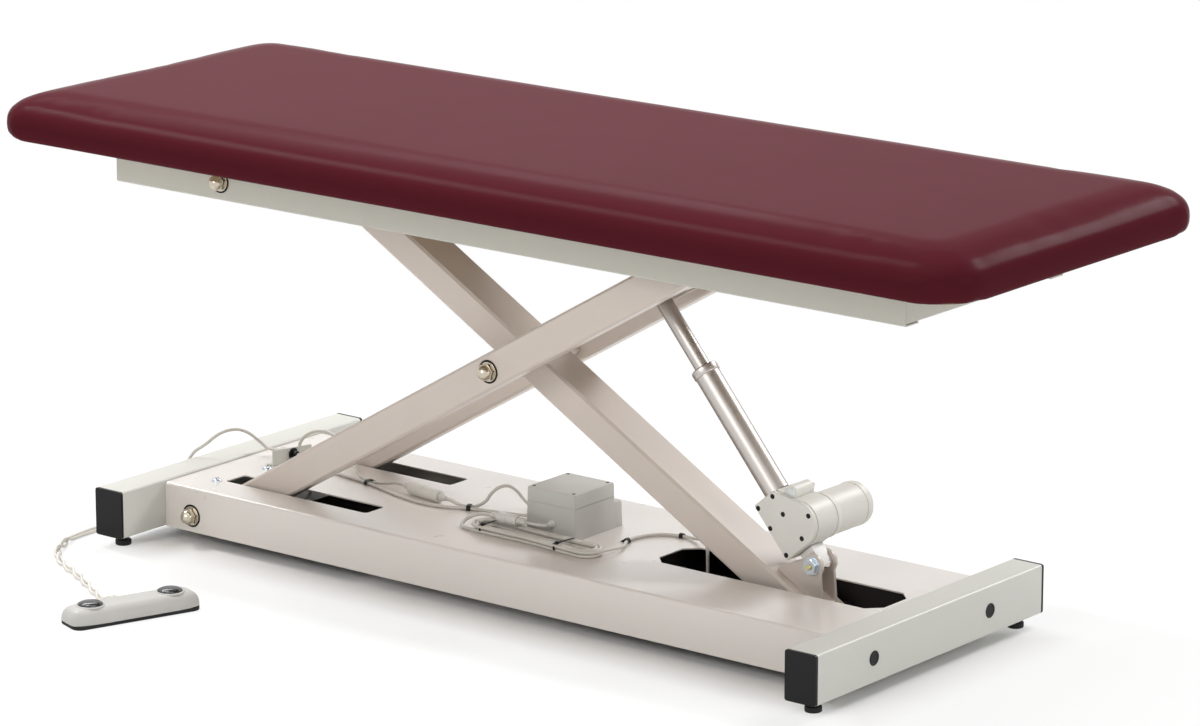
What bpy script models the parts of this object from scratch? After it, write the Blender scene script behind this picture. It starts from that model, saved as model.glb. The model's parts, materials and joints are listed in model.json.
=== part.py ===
"""A scissor-lift treatment table: padded top, crossing arms, linear actuator and a foot control.

Lengths are in metres, +Z is up. The model is drawn in a base frame whose X starts at the inner face
of the left floor bar and whose Y = 0 is the middle plane, and is then shifted so that the origin
lies under the middle of the whole object.
"""
import math

import bmesh
import bpy
from mathutils import Matrix, Vector

# Gaps and overruns
CLEARANCE = 0.0003
OVERRUN = 0.004
WELD = 0.000001
FLAT_ANGLE = 0.002

# Floor bars, caps and feet
BAR_WIDTH = 0.0582
BAR_HEIGHT = 0.0804
BAR_BOTTOM = 0.0202
BAR_SPAN = 0.608
BAR_WALL = 0.0025
BAR_CORNER = 0.004
BASE_LENGTH = 1.363
CAP_THICKNESS = 0.005
CAP_STUB_DEPTH = 0.018
CAP_STUB_WALL = 0.0025
BAR_HOLE_RADIUS = 0.0115
BAR_HOLE_Y = 0.155
FOOT_RADIUS = 0.0135
FOOT_DISC_HEIGHT = 0.009
FOOT_NECK_RADIUS = 0.0085
FOOT_CHAMFER = 0.0015
FOOT_STEM_RADIUS = 0.005
FOOT_STEM_RISE = 0.022
FOOT_FROM_END = 0.034

# Folded base tray
TRAY_WIDTH = 0.3948
TRAY_TOP = 0.0962
TRAY_SHEET = 0.0025
TRAY_LIP = 0.012
TRAY_CORNER = 0.005
SLOT_START = 0.075
SLOT_END = 0.385
SLOT_MARGIN = 0.004
SLOT_CORNER = 0.006
WELL_START = 0.913
WELL_END = 1.350
WELL_HALF_WIDTH = 0.052
WELL_SLANT = 0.022

# Scissor geometry
BASE_PIVOT_X = 0.059
PIVOT_Z = 0.0481
LOWER_HALF = 0.6698
UPPER_HALF = 0.5573
TUBE_ANGLE = 30.3
LOWER_LEAN = 1.0
UPPER_LEAN = 3.0

# Outer arms
ARM_INNER_Y = 0.087
ARM_WIDTH = 0.040
ARM_DEPTH = 0.0554
ARM_WALL = 0.0025
ARM_CORNER = 0.004
ARM_END_RADIUS = 0.022
ARM_NOSE_RADIUS = 0.020
ARM_LOWER_CUT = 0.620
ARM_NOSE_TAPER = 0.0515
ARM_CAVITY_MARGIN = 0.030

# Inner arm
BEAM_WIDTH = 0.076
BEAM_DEPTH = 0.053
BEAM_WALL = 0.003
BEAM_END_RADIUS = 0.0138
BEAM_LOWER_CUT = 0.590
BEAM_NOSE_TAPER = 0.0535
LUG_THICKNESS = 0.006
SLEEVE_RADIUS = 0.016
TOP_SLEEVE_HALF = 0.2035

# Pivot bolts and nuts
BOLT_RADIUS = 0.010
BOLT_HEAD_RADIUS = 0.0155
BOLT_HEAD_HEIGHT = 0.008
BOLT_THREAD_LENGTH = 0.010
NUT_RADIUS = 0.0165
NUT_HEX_HEIGHT = 0.009
NUT_DOME_RADIUS = 0.0125

# Rollers and axles
BASE_ROLLER_RADIUS = 0.016
BASE_ROLLER_WIDTH = 0.010
BASE_ROLLER_GAP = 0.003
BASE_AXLE_RADIUS = 0.008
AXLE_FLANGE = 0.0025
AXLE_FLANGE_RADIUS = 0.0115
TOP_ROLLER_RADIUS = 0.026
TOP_ROLLER_WIDTH = 0.022
TOP_ROLLER_Y = 0.179
TOP_AXLE_RADIUS = 0.010
ROLLER_CHAMFER = 0.0015
TRACK_GAP = 0.0004

# Roller track in the base
BASE_TRACK_START = 1.040
BASE_TRACK_HALF = 0.058
BASE_TRACK_FLANGE = 0.014
BASE_TRACK_END_GAP = 0.002

# Top frame
FRAME_LEFT = -0.0828
FRAME_RIGHT = 1.5075
FRAME_HALF_WIDTH = 0.2093
FRAME_HEIGHT = 0.076
FRAME_BELOW_PIVOT = 0.0315
FLANGE = 0.034
FRAME_SHEET = 0.0025
FRAME_BEND = 0.003
TRACK_LEFT = 0.955
TRACK_RIGHT = 1.300

# Pad
PAD_LEFT = -0.2472
PAD_RIGHT = 1.6828
PAD_HALF_WIDTH = 0.343
PAD_THICKNESS = 0.072
PAD_CORNER = 0.079
PAD_SKIRT_RISE = 0.0014
BOARD_THICKNESS = 0.014
BOARD_INSET = 0.012
# Height share of the pad and how far its side draws in there, as a share of its thickness
PAD_SECTION_SHARES = (
    (0.0, 0.11),
    (0.15, 0.03),
    (0.40, 0.0),
    (0.62, 0.08),
    (0.80, 0.31),
    (0.93, 0.70),
    (1.0, 1.32),
)
PAD_CORNER_STEPS = 6

# Linear actuator, measured from its lower pin along its axis and across it
LOWER_PIN_ALONG = 0.608
LOWER_PIN_ABOVE = 0.075
ROD_PIN_ALONG = 0.2823
LOWER_PIN_RADIUS = 0.006
LOWER_PIN_HEAD_RADIUS = 0.0105
LOWER_PIN_HEAD = 0.008
LOWER_PIN_TAIL = 0.007
EAR_INNER_Y = 0.015
EAR_THICKNESS = 0.006
EAR_RADIUS = 0.020
EAR_FOOT_START = 0.560
EAR_FOOT_END = 0.656
EAR_BASE = 0.005
CLEVIS_RADIUS = 0.014
GEARBOX_START = 0.028
GEARBOX_END = 0.130
GEARBOX_LEFT = 0.030
GEARBOX_TOP_RIGHT = -0.021
GEARBOX_WHEEL_ALONG = 0.065
GEARBOX_WHEEL_ACROSS = -0.025
GEARBOX_WHEEL_RADIUS = 0.036
GEARBOX_NEAR_Y = -0.0243
GEARBOX_FAR_Y = 0.028
GEARBOX_EDGE = 0.003
COVER_THICKNESS = 0.0075
COVER_SCREW_RADIUS = 0.0035
COVER_SCREW_DEPTH = 0.003
BOSS_ALONG = 0.112
BOSS_ACROSS = -0.038
BOSS_RADIUS = 0.012
BOSS_CAP_RADIUS = 0.009
BOSS_CAP_HEIGHT = 0.0025
MOTOR_RADIUS = 0.037
MOTOR_END_Y = 0.128
MOTOR_RIM = 0.005
MOTOR_BAND = 0.0015
MOTOR_BAND_WIDTH = 0.010
TUBE_RADIUS = 0.0205
TUBE_END = 0.360
TUBE_BORE_RADIUS = 0.0145
TUBE_BORE_DEPTH = 0.052
COLLAR_RADIUS = 0.022
COLLAR_WIDTH = 0.014
COLLAR_CHAMFER = 0.002
ROD_RADIUS = 0.01325
ROD_LENGTH = 0.295
ROD_EYE_RADIUS = 0.018
ROD_EYE_HALF = 0.014
ROD_PIN_RADIUS = 0.008
BRACKET_EAR_Y = 0.0273
BRACKET_EAR_THICKNESS = 0.006
BRACKET_REACH = 0.074
BRACKET_PLATE = 0.008
BRACKET_HALF_DEPTH = 0.020

# Items on the base deck
BOX_START = 0.655
BOX_END = 0.7565
BOX_NEAR_Y = -0.049
BOX_FAR_Y = 0.058
BOX_HEIGHT = 0.076
BOX_STEP_Y = 0.078
BOX_STEP_HEIGHT = 0.042
BOX_EDGE = 0.004
CORD_BRACKET_X = 0.078
CORD_BRACKET_NEAR_Y = -0.014
CORD_BRACKET_FAR_Y = 0.083
CORD_BRACKET_NEAR_RISE = 0.027
CORD_BRACKET_FAR_RISE = 0.018
CORD_BRACKET_FOOT = 0.016
SOCKET_Y = 0.035
SOCKET_RISE = 0.0118
SOCKET_RADIUS = 0.0065
PLUG_RADIUS = 0.008
PLUG_LENGTH = 0.022
PLUG_TAIL_RADIUS = 0.0045
PLUG_TAIL_LENGTH = 0.018
PLUG_TONGUE_RADIUS = 0.0058
CABLE_RADIUS = 0.00275
LINK_BODY_RADIUS = 0.011
LINK_BODY_LENGTH = 0.076
LINK_NECK_RADIUS = 0.0065
LINK_NECK_LENGTH = 0.015
MOTOR_PLUG_BODY_RADIUS = 0.009
MOTOR_PLUG_BODY_LENGTH = 0.040
MOTOR_PLUG_NECK_RADIUS = 0.006
MOTOR_PLUG_NECK_LENGTH = 0.016
HANK_CENTRE = (0.707, -0.083)
HANK_TURN = -3.0
HANK_HALF_RUN = 0.106
HANK_HALF_WIDTH = 0.026
HANK_PITCH = 0.0068
HANK_TURNS = 4
HANK_RUN_STEPS = 4
HANK_BEND_STEPS = 8
HANK_WAIST_SHARE = 0.16

# Foot control
CONTROL_CENTRE = (0.258, -0.556)
CONTROL_TURN = 20.0
CONTROL_LENGTH = 0.228
CONTROL_WIDTH = 0.068
CONTROL_CORNER = 0.017
SOLE_HEIGHT = 0.006
CONTROL_TOP = 0.030
CONTROL_EDGE = 0.004
SOLE_INSET = 0.002
BUTTON_RADIUS = 0.020
BUTTON_OFFSET = 0.0705
BUTTON_TOP = 0.0365
BUTTON_DOME = 0.004
BUTTON_WELL_FLOOR = 0.014
BUTTON_TRAVEL = 0.003
BUTTON_SKIRT_GAP = 0.001
CORD_PORT_HEIGHT = 0.015
CORD_PORT_SPREAD = 0.008
CORD_RADIUS = 0.00275

# Laying of the two foot cords round each other
TWIST_HALF_SPREAD = 0.0042
TWIST_HUMP = 0.0078
TWIST_PERIOD = 0.090
CORD_STEP = 0.0145
CABLE_STEP = 0.0160

# Facets
ROUND_STEPS = 20
SMALL_STEPS = 12
ARC_STEPS = 6
DOME_STEPS = 3
EDGE_SEGMENTS = 1
TUBE_RESOLUTION = 2
HANK_RESOLUTION = 1

# Routes of the cables, as points chosen by hand
DECK_LIE = TRAY_TOP + CLEARANCE + CABLE_RADIUS

SOCKET_ROUTE = [
    (0.0784, 0.0350, 0.1080), (0.0940, 0.0350, 0.1080), (0.1080, 0.0340, 0.1060),
    (0.1400, 0.0270, DECK_LIE), (0.2000, 0.0120, DECK_LIE), (0.2755, -0.0005, DECK_LIE),
    (0.3150, -0.0110, DECK_LIE), (0.3550, -0.0230, DECK_LIE), (0.4200, -0.0350, DECK_LIE),
    (0.4620, -0.0310, DECK_LIE), (0.5030, -0.0140, DECK_LIE), (0.5600, 0.0000, DECK_LIE),
    (0.6100, 0.0110, 0.1010), (0.6400, 0.0150, 0.1060), (0.6547, 0.0150, 0.1065),
]
LINK_ROUTE = [
    (0.0580, 0.0740, 0.0965), (0.0580, 0.0740, 0.1080), (0.0640, 0.0745, 0.1220),
    (0.0780, 0.0755, 0.1340), (0.0980, 0.0775, 0.1420), (0.1280, 0.0770, 0.1430),
    (0.1700, 0.0630, 0.1330), (0.2120, 0.0380, 0.1130), (0.2420, 0.0200, 0.1010),
    (0.2755, 0.0080, DECK_LIE), (0.3080, 0.0080, 0.1025), (0.3330, 0.00846, 0.1075),
    (0.3530, 0.0050, 0.1075), (0.4050, -0.0040, 0.1075), (0.4570, -0.0130, 0.1075),
    (0.4740, -0.01594, 0.1065), (0.4900, -0.0110, 0.1010), (0.5030, -0.0040, DECK_LIE),
    (0.5180, 0.0090, 0.1050), (0.5310, 0.0230, 0.1270), (0.5440, 0.0370, 0.1340),
    (0.5570, 0.0490, 0.1240), (0.5720, 0.0570, 0.1040), (0.6050, 0.0540, DECK_LIE),
    (0.6350, 0.0460, 0.1040), (0.6547, 0.0450, 0.1065),
]
MOTOR_ROUTE_IN = [
    (0.7100, -0.0498, 0.1185), (0.7100, -0.0600, 0.1185), (0.7040, -0.0675, 0.1185),
    (0.6880, -0.0700, 0.1185), (0.6720, -0.0700, 0.1185), (0.6360, -0.0700, 0.1185),
    (0.6000, -0.0700, 0.1185), (0.5800, -0.0710, 0.1170), (0.5640, -0.0770, 0.1110),
    (0.5560, -0.0870, 0.1030), (0.5620, -0.0980, 0.0998),
]
MOTOR_ROUTE_OUT = [
    (0.8440, -0.0480, 0.1030), (0.8360, -0.0220, DECK_LIE), (0.8240, 0.0010, DECK_LIE),
    (0.8250, 0.0320, DECK_LIE), (0.8420, 0.0620, DECK_LIE), (0.8760, 0.0770, DECK_LIE),
    (0.9060, 0.0740, 0.1010), (0.9290, 0.0640, 0.1070), (0.9450, 0.0520, 0.1075),
    (0.9520, 0.0450, 0.0960), (0.9530, 0.0445, 0.0760),
]
MOTOR_LEAD_ROUTE = [
    (1.1637, 0.0253, 0.2445), (1.1637, 0.0370, 0.2445), (1.1570, 0.0470, 0.2430),
    (1.1430, 0.0480, 0.2320), (1.1340, 0.0465, 0.2050), (1.1350, 0.0452, 0.1650),
    (1.1480, 0.0450, 0.1300), (1.1620, 0.0450, 0.1000), (1.1700, 0.0450, 0.0780),
]
FOOT_CORD_ROUTE = [
    (0.0349, 0.0350, 0.1080), (0.0210, 0.0350, 0.1080), (0.0070, 0.0250, 0.1230),
    (0.0010, 0.0020, 0.1410), (-0.0040, -0.0230, 0.1490), (-0.0180, -0.0440, 0.1430),
    (-0.0380, -0.0560, 0.1240), (-0.0570, -0.0640, 0.1090), (-0.0690, -0.0740, 0.0840),
    (-0.0740, -0.0860, 0.0500), (-0.0780, -0.1030, 0.0200), (-0.0850, -0.1300, 0.0034),
    (-0.0990, -0.1850, 0.0034), (-0.1100, -0.2480, 0.0034),
]
RETURN_CORD_ROUTE = [
    (0.0640, 0.0740, 0.0933), (0.0640, 0.0740, 0.0830), (0.0790, 0.0745, 0.0640),
    (0.0850, 0.0740, 0.0400), (0.0740, 0.0660, 0.0180), (0.0460, 0.0420, 0.0060),
    (0.0050, 0.0000, 0.0034), (-0.0460, -0.0560, 0.0034), (-0.0840, -0.0920, 0.0034),
    (-0.1070, -0.1330, 0.0034), (-0.1200, -0.1880, 0.0034), (-0.1240, -0.2460, 0.0034),
]
TWIST_ROUTE = [
    (-0.1110, -0.3120, 0.0034), (-0.0740, -0.3790, 0.0034), (-0.0240, -0.4220, 0.0034),
    (0.0400, -0.4550, 0.0034), (0.1100, -0.4950, 0.0034), (0.1640, -0.5270, 0.0034),
]

# Derived places
PAD_CENTRE_X = (PAD_LEFT + PAD_RIGHT) / 2
TUBE_TURN = math.radians(TUBE_ANGLE)
LOWER_TURN = math.radians(TUBE_ANGLE - LOWER_LEAN)
UPPER_TURN = math.radians(TUBE_ANGLE - UPPER_LEAN)
CENTRE_X = BASE_PIVOT_X + LOWER_HALF * math.cos(LOWER_TURN)
CENTRE_Z = PIVOT_Z + LOWER_HALF * math.sin(LOWER_TURN)
TOP_PIVOT_X = CENTRE_X - UPPER_HALF * math.cos(UPPER_TURN)
TOP_PIVOT_Z = CENTRE_Z + UPPER_HALF * math.sin(UPPER_TURN)
LOWER_END_ALONG = LOWER_HALF * math.cos(math.radians(LOWER_LEAN))
LOWER_END_ABOVE = LOWER_HALF * math.sin(math.radians(LOWER_LEAN))
UPPER_END_ALONG = UPPER_HALF * math.cos(math.radians(UPPER_LEAN))
UPPER_END_BELOW = -UPPER_HALF * math.sin(math.radians(UPPER_LEAN))
ARM_UPPER_CUT = UPPER_END_ALONG - ARM_NOSE_TAPER
BEAM_UPPER_CUT = UPPER_END_ALONG - BEAM_NOSE_TAPER
FRAME_BOTTOM = TOP_PIVOT_Z - FRAME_BELOW_PIVOT
FRAME_TOP = FRAME_BOTTOM + FRAME_HEIGHT
BOARD_BOTTOM = FRAME_TOP + CLEARANCE
BAR_TOP = BAR_BOTTOM + BAR_HEIGHT
ARM_OUTER_Y = ARM_INNER_Y + ARM_WIDTH
BORE_RADIUS = BOLT_RADIUS + CLEARANCE


def frame_at(x, z, turn):
    """A frame whose X runs along a piece that is turned in the XZ plane, with Y unchanged."""
    return Matrix.Translation((x, 0, z)) @ Matrix.Rotation(-turn, 4, "Y")


BASE = Matrix.Identity(4)
OUTER = frame_at(CENTRE_X, CENTRE_Z, TUBE_TURN)
INNER = frame_at(CENTRE_X, CENTRE_Z, -TUBE_TURN)
LOWER_PIN = INNER @ Vector((LOWER_PIN_ALONG, 0, LOWER_PIN_ABOVE))
ROD_PIN = OUTER @ Vector((ROD_PIN_ALONG, 0, 0))
DRIVE_TURN = math.atan2(ROD_PIN.z - LOWER_PIN.z, ROD_PIN.x - LOWER_PIN.x)
DRIVE_LENGTH = (ROD_PIN - LOWER_PIN).length
DRIVE = frame_at(LOWER_PIN.x, LOWER_PIN.z, DRIVE_TURN)
CONTROL = Matrix.Translation((CONTROL_CENTRE[0], CONTROL_CENTRE[1], 0)) @ Matrix.Rotation(
    math.radians(90 - CONTROL_TURN), 4, "Z")


# Scene and materials
def empty_scene():
    for old in list(bpy.data.objects):
        bpy.data.objects.remove(old)


def collection(name):
    group = bpy.data.collections.new(name)
    bpy.context.scene.collection.children.link(group)
    return group


def material(name, colour, roughness, metallic=0.0):
    finish = bpy.data.materials.new(name)
    finish.use_nodes = True
    shader = finish.node_tree.nodes["Principled BSDF"]
    shader.inputs["Base Color"].default_value = (*colour, 1.0)
    shader.inputs["Roughness"].default_value = roughness
    shader.inputs["Metallic"].default_value = metallic
    finish.diffuse_color = (*colour, 1.0)
    return finish


# Mesh and curve helpers
def mesh_object(name, shape, frame):
    bmesh.ops.remove_doubles(shape, verts=shape.verts, dist=WELD)
    bmesh.ops.recalc_face_normals(shape, faces=shape.faces)
    mesh = bpy.data.meshes.new(name)
    shape.to_mesh(mesh)
    shape.free()
    piece = bpy.data.objects.new(name, mesh)
    CUTTERS.objects.link(piece)
    piece.display_type = "WIRE"
    piece.hide_render = True
    piece.matrix_world = frame
    return piece


def block(name, low, high, frame=BASE):
    shape = bmesh.new()
    bmesh.ops.create_cube(shape, size=1.0)
    low, high = Vector(low), Vector(high)
    for corner in shape.verts:
        corner.co = [low[i] + (corner.co[i] + 0.5) * (high[i] - low[i]) for i in range(3)]
    return mesh_object(name, shape, frame)


def rounded_block(name, low, high, edge, frame=BASE):
    piece = block(name, low, high, frame)
    soften = piece.modifiers.new("edges", "BEVEL")
    soften.width = edge
    soften.segments = EDGE_SEGMENTS
    return baked(piece)


def rod(name, centre, radius, start, end, axis="Y", frame=BASE, steps=ROUND_STEPS):
    """A cylinder along an axis of the frame, from start to end on that axis."""
    shape = bmesh.new()
    turn = {"X": Matrix.Rotation(math.pi / 2, 4, "Y"),
            "Y": Matrix.Rotation(-math.pi / 2, 4, "X"),
            "Z": Matrix.Identity(4)}[axis]
    place = Vector(centre)
    place["XYZ".index(axis)] = (start + end) / 2
    bmesh.ops.create_cone(shape, cap_ends=True, segments=steps, radius1=radius, radius2=radius,
                          depth=end - start, matrix=Matrix.Translation(place) @ turn)
    return mesh_object(name, shape, frame)


def baked(piece):
    """The piece with its modifiers made part of its mesh."""
    bpy.context.view_layer.update()
    result = bpy.data.meshes.new_from_object(piece.evaluated_get(bpy.context.evaluated_depsgraph_get()))
    piece.modifiers.clear()
    piece.data = result
    return piece


def extrusion(name, outlines, axis, start, end, frame=BASE):
    """Closed outlines filled and drawn out along an axis of the frame."""
    curve = bpy.data.curves.new(name, "CURVE")
    curve.dimensions = "2D"
    curve.fill_mode = "BOTH"
    curve.extrude = (end - start) / 2
    for outline in outlines:
        spline = curve.splines.new("POLY")
        spline.points.add(len(outline) - 1)
        for point, place in zip(spline.points, outline):
            point.co = (place[0], place[1], 0, 1)
        spline.use_cyclic_u = True
    source = bpy.data.objects.new(name, curve)
    CUTTERS.objects.link(source)
    bpy.context.view_layer.update()
    flat = bpy.data.meshes.new_from_object(source.evaluated_get(bpy.context.evaluated_depsgraph_get()))
    bpy.data.objects.remove(source)
    shape = bmesh.new()
    shape.from_mesh(flat)
    middle = (start + end) / 2
    turn = {"X": Matrix(((0, 0, 1, middle), (1, 0, 0, 0), (0, 1, 0, 0), (0, 0, 0, 1))),
            "Y": Matrix(((1, 0, 0, 0), (0, 0, -1, middle), (0, 1, 0, 0), (0, 0, 0, 1))),
            "Z": Matrix.Translation((0, 0, middle))}[axis]
    bmesh.ops.transform(shape, matrix=turn, verts=shape.verts)
    bmesh.ops.remove_doubles(shape, verts=shape.verts, dist=WELD)
    if len(outlines) == 1:
        bmesh.ops.dissolve_limit(shape, angle_limit=FLAT_ANGLE, verts=shape.verts, edges=shape.edges)
    return mesh_object(name, shape, frame)


def turned(name, profile, place, direction, frame=BASE, steps=ROUND_STEPS):
    """A turned shape: (radius, height) down the outer side, then turned about its own axis."""
    shape = bmesh.new()
    line = [shape.verts.new((radius, 0, height)) for radius, height in profile]
    for first, second in zip(line, line[1:]):
        shape.edges.new((first, second))
    if profile[0][0] > 0:
        shape.edges.new((line[-1], line[0]))
    mesh = bpy.data.meshes.new(name)
    shape.to_mesh(mesh)
    shape.free()
    source = bpy.data.objects.new(name, mesh)
    CUTTERS.objects.link(source)
    lathe = source.modifiers.new("lathe", "SCREW")
    lathe.steps = steps
    lathe.render_steps = steps
    lathe.use_merge_vertices = True
    lathe.merge_threshold = WELD
    baked(source)
    shape = bmesh.new()
    shape.from_mesh(source.data)
    bpy.data.objects.remove(source)
    turn = Vector(direction).to_track_quat("Z", "Y").to_matrix().to_4x4()
    bmesh.ops.transform(shape, matrix=Matrix.Translation(place) @ turn, verts=shape.verts)
    return mesh_object(name, shape, frame)


def combine(piece, tool, operation):
    step = piece.modifiers.new(tool.name, "BOOLEAN")
    step.operation = operation
    step.object = tool
    step.solver = "EXACT"
    return piece


def cut(piece, *tools):
    for tool in tools:
        combine(piece, tool, "DIFFERENCE")
    return piece


def join(piece, *tools):
    for tool in tools:
        combine(piece, tool, "UNION")
    return piece


def cable(name, points, resolution, radius):
    curve = bpy.data.curves.new(name, "CURVE")
    curve.dimensions = "3D"
    curve.bevel_depth = radius
    curve.bevel_resolution = resolution
    curve.use_fill_caps = True
    spline = curve.splines.new("POLY")
    spline.points.add(len(points) - 1)
    for point, place in zip(spline.points, points):
        point.co = (*place, 1)
    piece = bpy.data.objects.new(name, curve)
    CUTTERS.objects.link(piece)
    return piece


# Outlines
def arc(centre, radius, start, end, steps=ARC_STEPS):
    turns = [math.radians(start + (end - start) * i / steps) for i in range(steps + 1)]
    return [(centre[0] + radius * math.cos(t), centre[1] + radius * math.sin(t)) for t in turns]


def rounded_rectangle(low, high, radius, steps=3):
    points = arc((high[0] - radius, high[1] - radius), radius, 0, 90, steps)
    points += arc((low[0] + radius, high[1] - radius), radius, 90, 180, steps)
    points += arc((low[0] + radius, low[1] + radius), radius, 180, 270, steps)
    points += arc((high[0] - radius, low[1] + radius), radius, 270, 360, steps)
    return points


def channel(web, tip, bottom, top, sheet, bend):
    """A C section whose web is at one side and whose flanges reach to the tip."""
    side = 1 if web > tip else -1
    corner = web - side * bend
    if side > 0:
        outer = arc((corner, bottom + bend), bend, 270, 360, 3) + arc((corner, top - bend), bend, 0, 90, 3)
    else:
        outer = arc((corner, bottom + bend), bend, 270, 180, 3) + arc((corner, top - bend), bend, 180, 90, 3)
    inner = [(tip, top), (tip, top - sheet), (web - side * sheet, top - sheet),
             (web - side * sheet, bottom + sheet), (tip, bottom + sheet), (tip, bottom)]
    return outer + inner


# Routes
def smooth_route(route, step):
    """Points at even steps along one smooth curve through the hand-chosen points."""
    knots = [Vector(point) for point in route]
    ends = [knots[0] * 2 - knots[1]] + knots + [knots[-1] * 2 - knots[-2]]
    fine = [knots[0]]
    fine_steps = 24
    for a, b, c, d in zip(ends, ends[1:], ends[2:], ends[3:]):
        ta = math.sqrt((b - a).length)
        tb = math.sqrt((c - b).length)
        tc = math.sqrt((d - c).length)
        leave = ((b - a) / ta - (c - a) / (ta + tb) + (c - b) / tb) * tb
        arrive = ((c - b) / tb - (d - b) / (tb + tc) + (d - c) / tc) * tb
        for i in range(1, fine_steps + 1):
            t = i / fine_steps
            spot = (b * (2 * t**3 - 3 * t**2 + 1) + leave * (t**3 - 2 * t**2 + t)
                    + c * (3 * t**2 - 2 * t**3) + arrive * (t**3 - t**2))
            spot.z = max(spot.z, min(b.z, c.z))
            fine.append(spot)
    lengths = [0.0]
    for first, second in zip(fine, fine[1:]):
        lengths.append(lengths[-1] + (second - first).length)
    count = max(2, round(lengths[-1] / step))
    points = []
    index = 0
    for i in range(count + 1):
        target = lengths[-1] * i / count
        while index < len(lengths) - 2 and lengths[index + 1] < target:
            index += 1
        span = lengths[index + 1] - lengths[index]
        points.append(fine[index].lerp(fine[index + 1], (target - lengths[index]) / span))
    return points


def hank_points():
    """The folded cable: oval turns that spiral in on one layer and out again on the next."""
    turn = Matrix.Rotation(math.radians(HANK_TURN), 3, "Z")
    per_turn = 2 * (HANK_RUN_STEPS + HANK_BEND_STEPS)
    reverse = HANK_TURNS / 2
    deepest = reverse - 1 / 4
    points = []
    for i in range(HANK_TURNS * per_turn + HANK_RUN_STEPS + HANK_BEND_STEPS // 2 + 1):
        turns = i / per_turn
        drawn = min(turns, HANK_TURNS - turns, deepest)
        half_width = HANK_HALF_WIDTH - HANK_PITCH * drawn
        climb = min(1, max(0, 2 * (turns - deepest)))
        step = i % per_turn
        side = 1 if step < per_turn / 2 else -1
        step = step % (per_turn // 2)
        if step < HANK_RUN_STEPS:
            x = HANK_HALF_RUN * (2 * step / HANK_RUN_STEPS - 1)
            drawn_in = HANK_WAIST_SHARE * HANK_HALF_WIDTH * math.cos(math.pi * x / (2 * HANK_HALF_RUN)) ** 2
            y = drawn_in - half_width
        else:
            swing = math.pi * (step - HANK_RUN_STEPS) / HANK_BEND_STEPS
            x = HANK_HALF_RUN + half_width * math.sin(swing)
            y = -half_width * math.cos(swing)
        spot = turn @ Vector((side * x, side * y, 0))
        points.append(Vector((HANK_CENTRE[0] + spot.x, HANK_CENTRE[1] + spot.y,
                              DECK_LIE + HANK_PITCH * climb)))
    return points


def least_gap(points, radius, skip):
    """The least clear gap between stretches of a tube that lie well apart along it."""
    least = math.inf
    for i, first in enumerate(points):
        for j in range(i + skip, len(points) - 1):
            a, b = points[j], points[j + 1]
            share = max(0.0, min(1.0, (first - a).dot(b - a) / (b - a).length_squared))
            least = min(least, (first - a.lerp(b, share)).length)
    return least - 2 * radius


def twisted(phase):
    """The stretch where a cord lies round its neighbour: they cross, and the upper one humps over."""
    points = smooth_route(TWIST_ROUTE, CORD_STEP)
    turns = round(len(points) * CORD_STEP / TWIST_PERIOD)
    laid = []
    for i, point in enumerate(points):
        swing = 2 * math.pi * turns * i / (len(points) - 1)
        ahead = (points[min(i + 1, len(points) - 1)] - points[max(i - 1, 0)]).normalized()
        side = Vector((-ahead.y, ahead.x, 0)) * phase * TWIST_HALF_SPREAD * math.cos(swing)
        lift = TWIST_HUMP * max(0.0, phase * math.sin(swing)) ** 2
        laid.append(point + side + Vector((0, 0, lift)))
    return laid


def foot_cord_points(route, phase):
    """A foot cord: its own stretch, the stretch with its neighbour, and straight into its port."""
    laid = twisted(phase)
    face = CONTROL_WIDTH / 2 + CLEARANCE
    port = [CONTROL @ Vector((phase * CORD_PORT_SPREAD / 2, face + reach, CORD_PORT_HEIGHT))
            for reach in (2 * CORD_STEP, CORD_STEP, 0)]
    way_in = smooth_route(route + laid[:2], CORD_STEP)
    way_out = smooth_route(laid[-2:] + port, CORD_STEP)
    return way_in[:-1] + laid[1:-2] + way_out


# Base
def floor_bar(name, inner_x, outer_x, outward):
    low, high = min(inner_x, outer_x), max(inner_x, outer_x)
    half = BAR_SPAN / 2 - CAP_THICKNESS - CLEARANCE
    outer = rounded_rectangle((low, BAR_BOTTOM), (high, BAR_TOP), BAR_CORNER)
    inner = rounded_rectangle((low + BAR_WALL, BAR_BOTTOM + BAR_WALL), (high - BAR_WALL, BAR_TOP - BAR_WALL),
                              BAR_CORNER - BAR_WALL)
    bar = extrusion(name, [outer, inner], "Y", -half, half)
    for side, label in ((-1, "near"), (1, "far")):
        y = side * (BAR_SPAN / 2 - FOOT_FROM_END)
        cut(bar, rod(f"{name}_foot_hole_{label}", ((low + high) / 2, y, 0), FOOT_STEM_RADIUS + CLEARANCE,
                     BAR_BOTTOM - OVERRUN, BAR_BOTTOM + BAR_WALL + OVERRUN, "Z", steps=SMALL_STEPS))
        if outward:
            cut(bar, rod(f"{name}_plug_hole_{label}", (0, side * BAR_HOLE_Y, (BAR_BOTTOM + BAR_TOP) / 2),
                         BAR_HOLE_RADIUS, outer_x - BAR_WALL - OVERRUN, outer_x + OVERRUN, "X"))
    return bar


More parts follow.
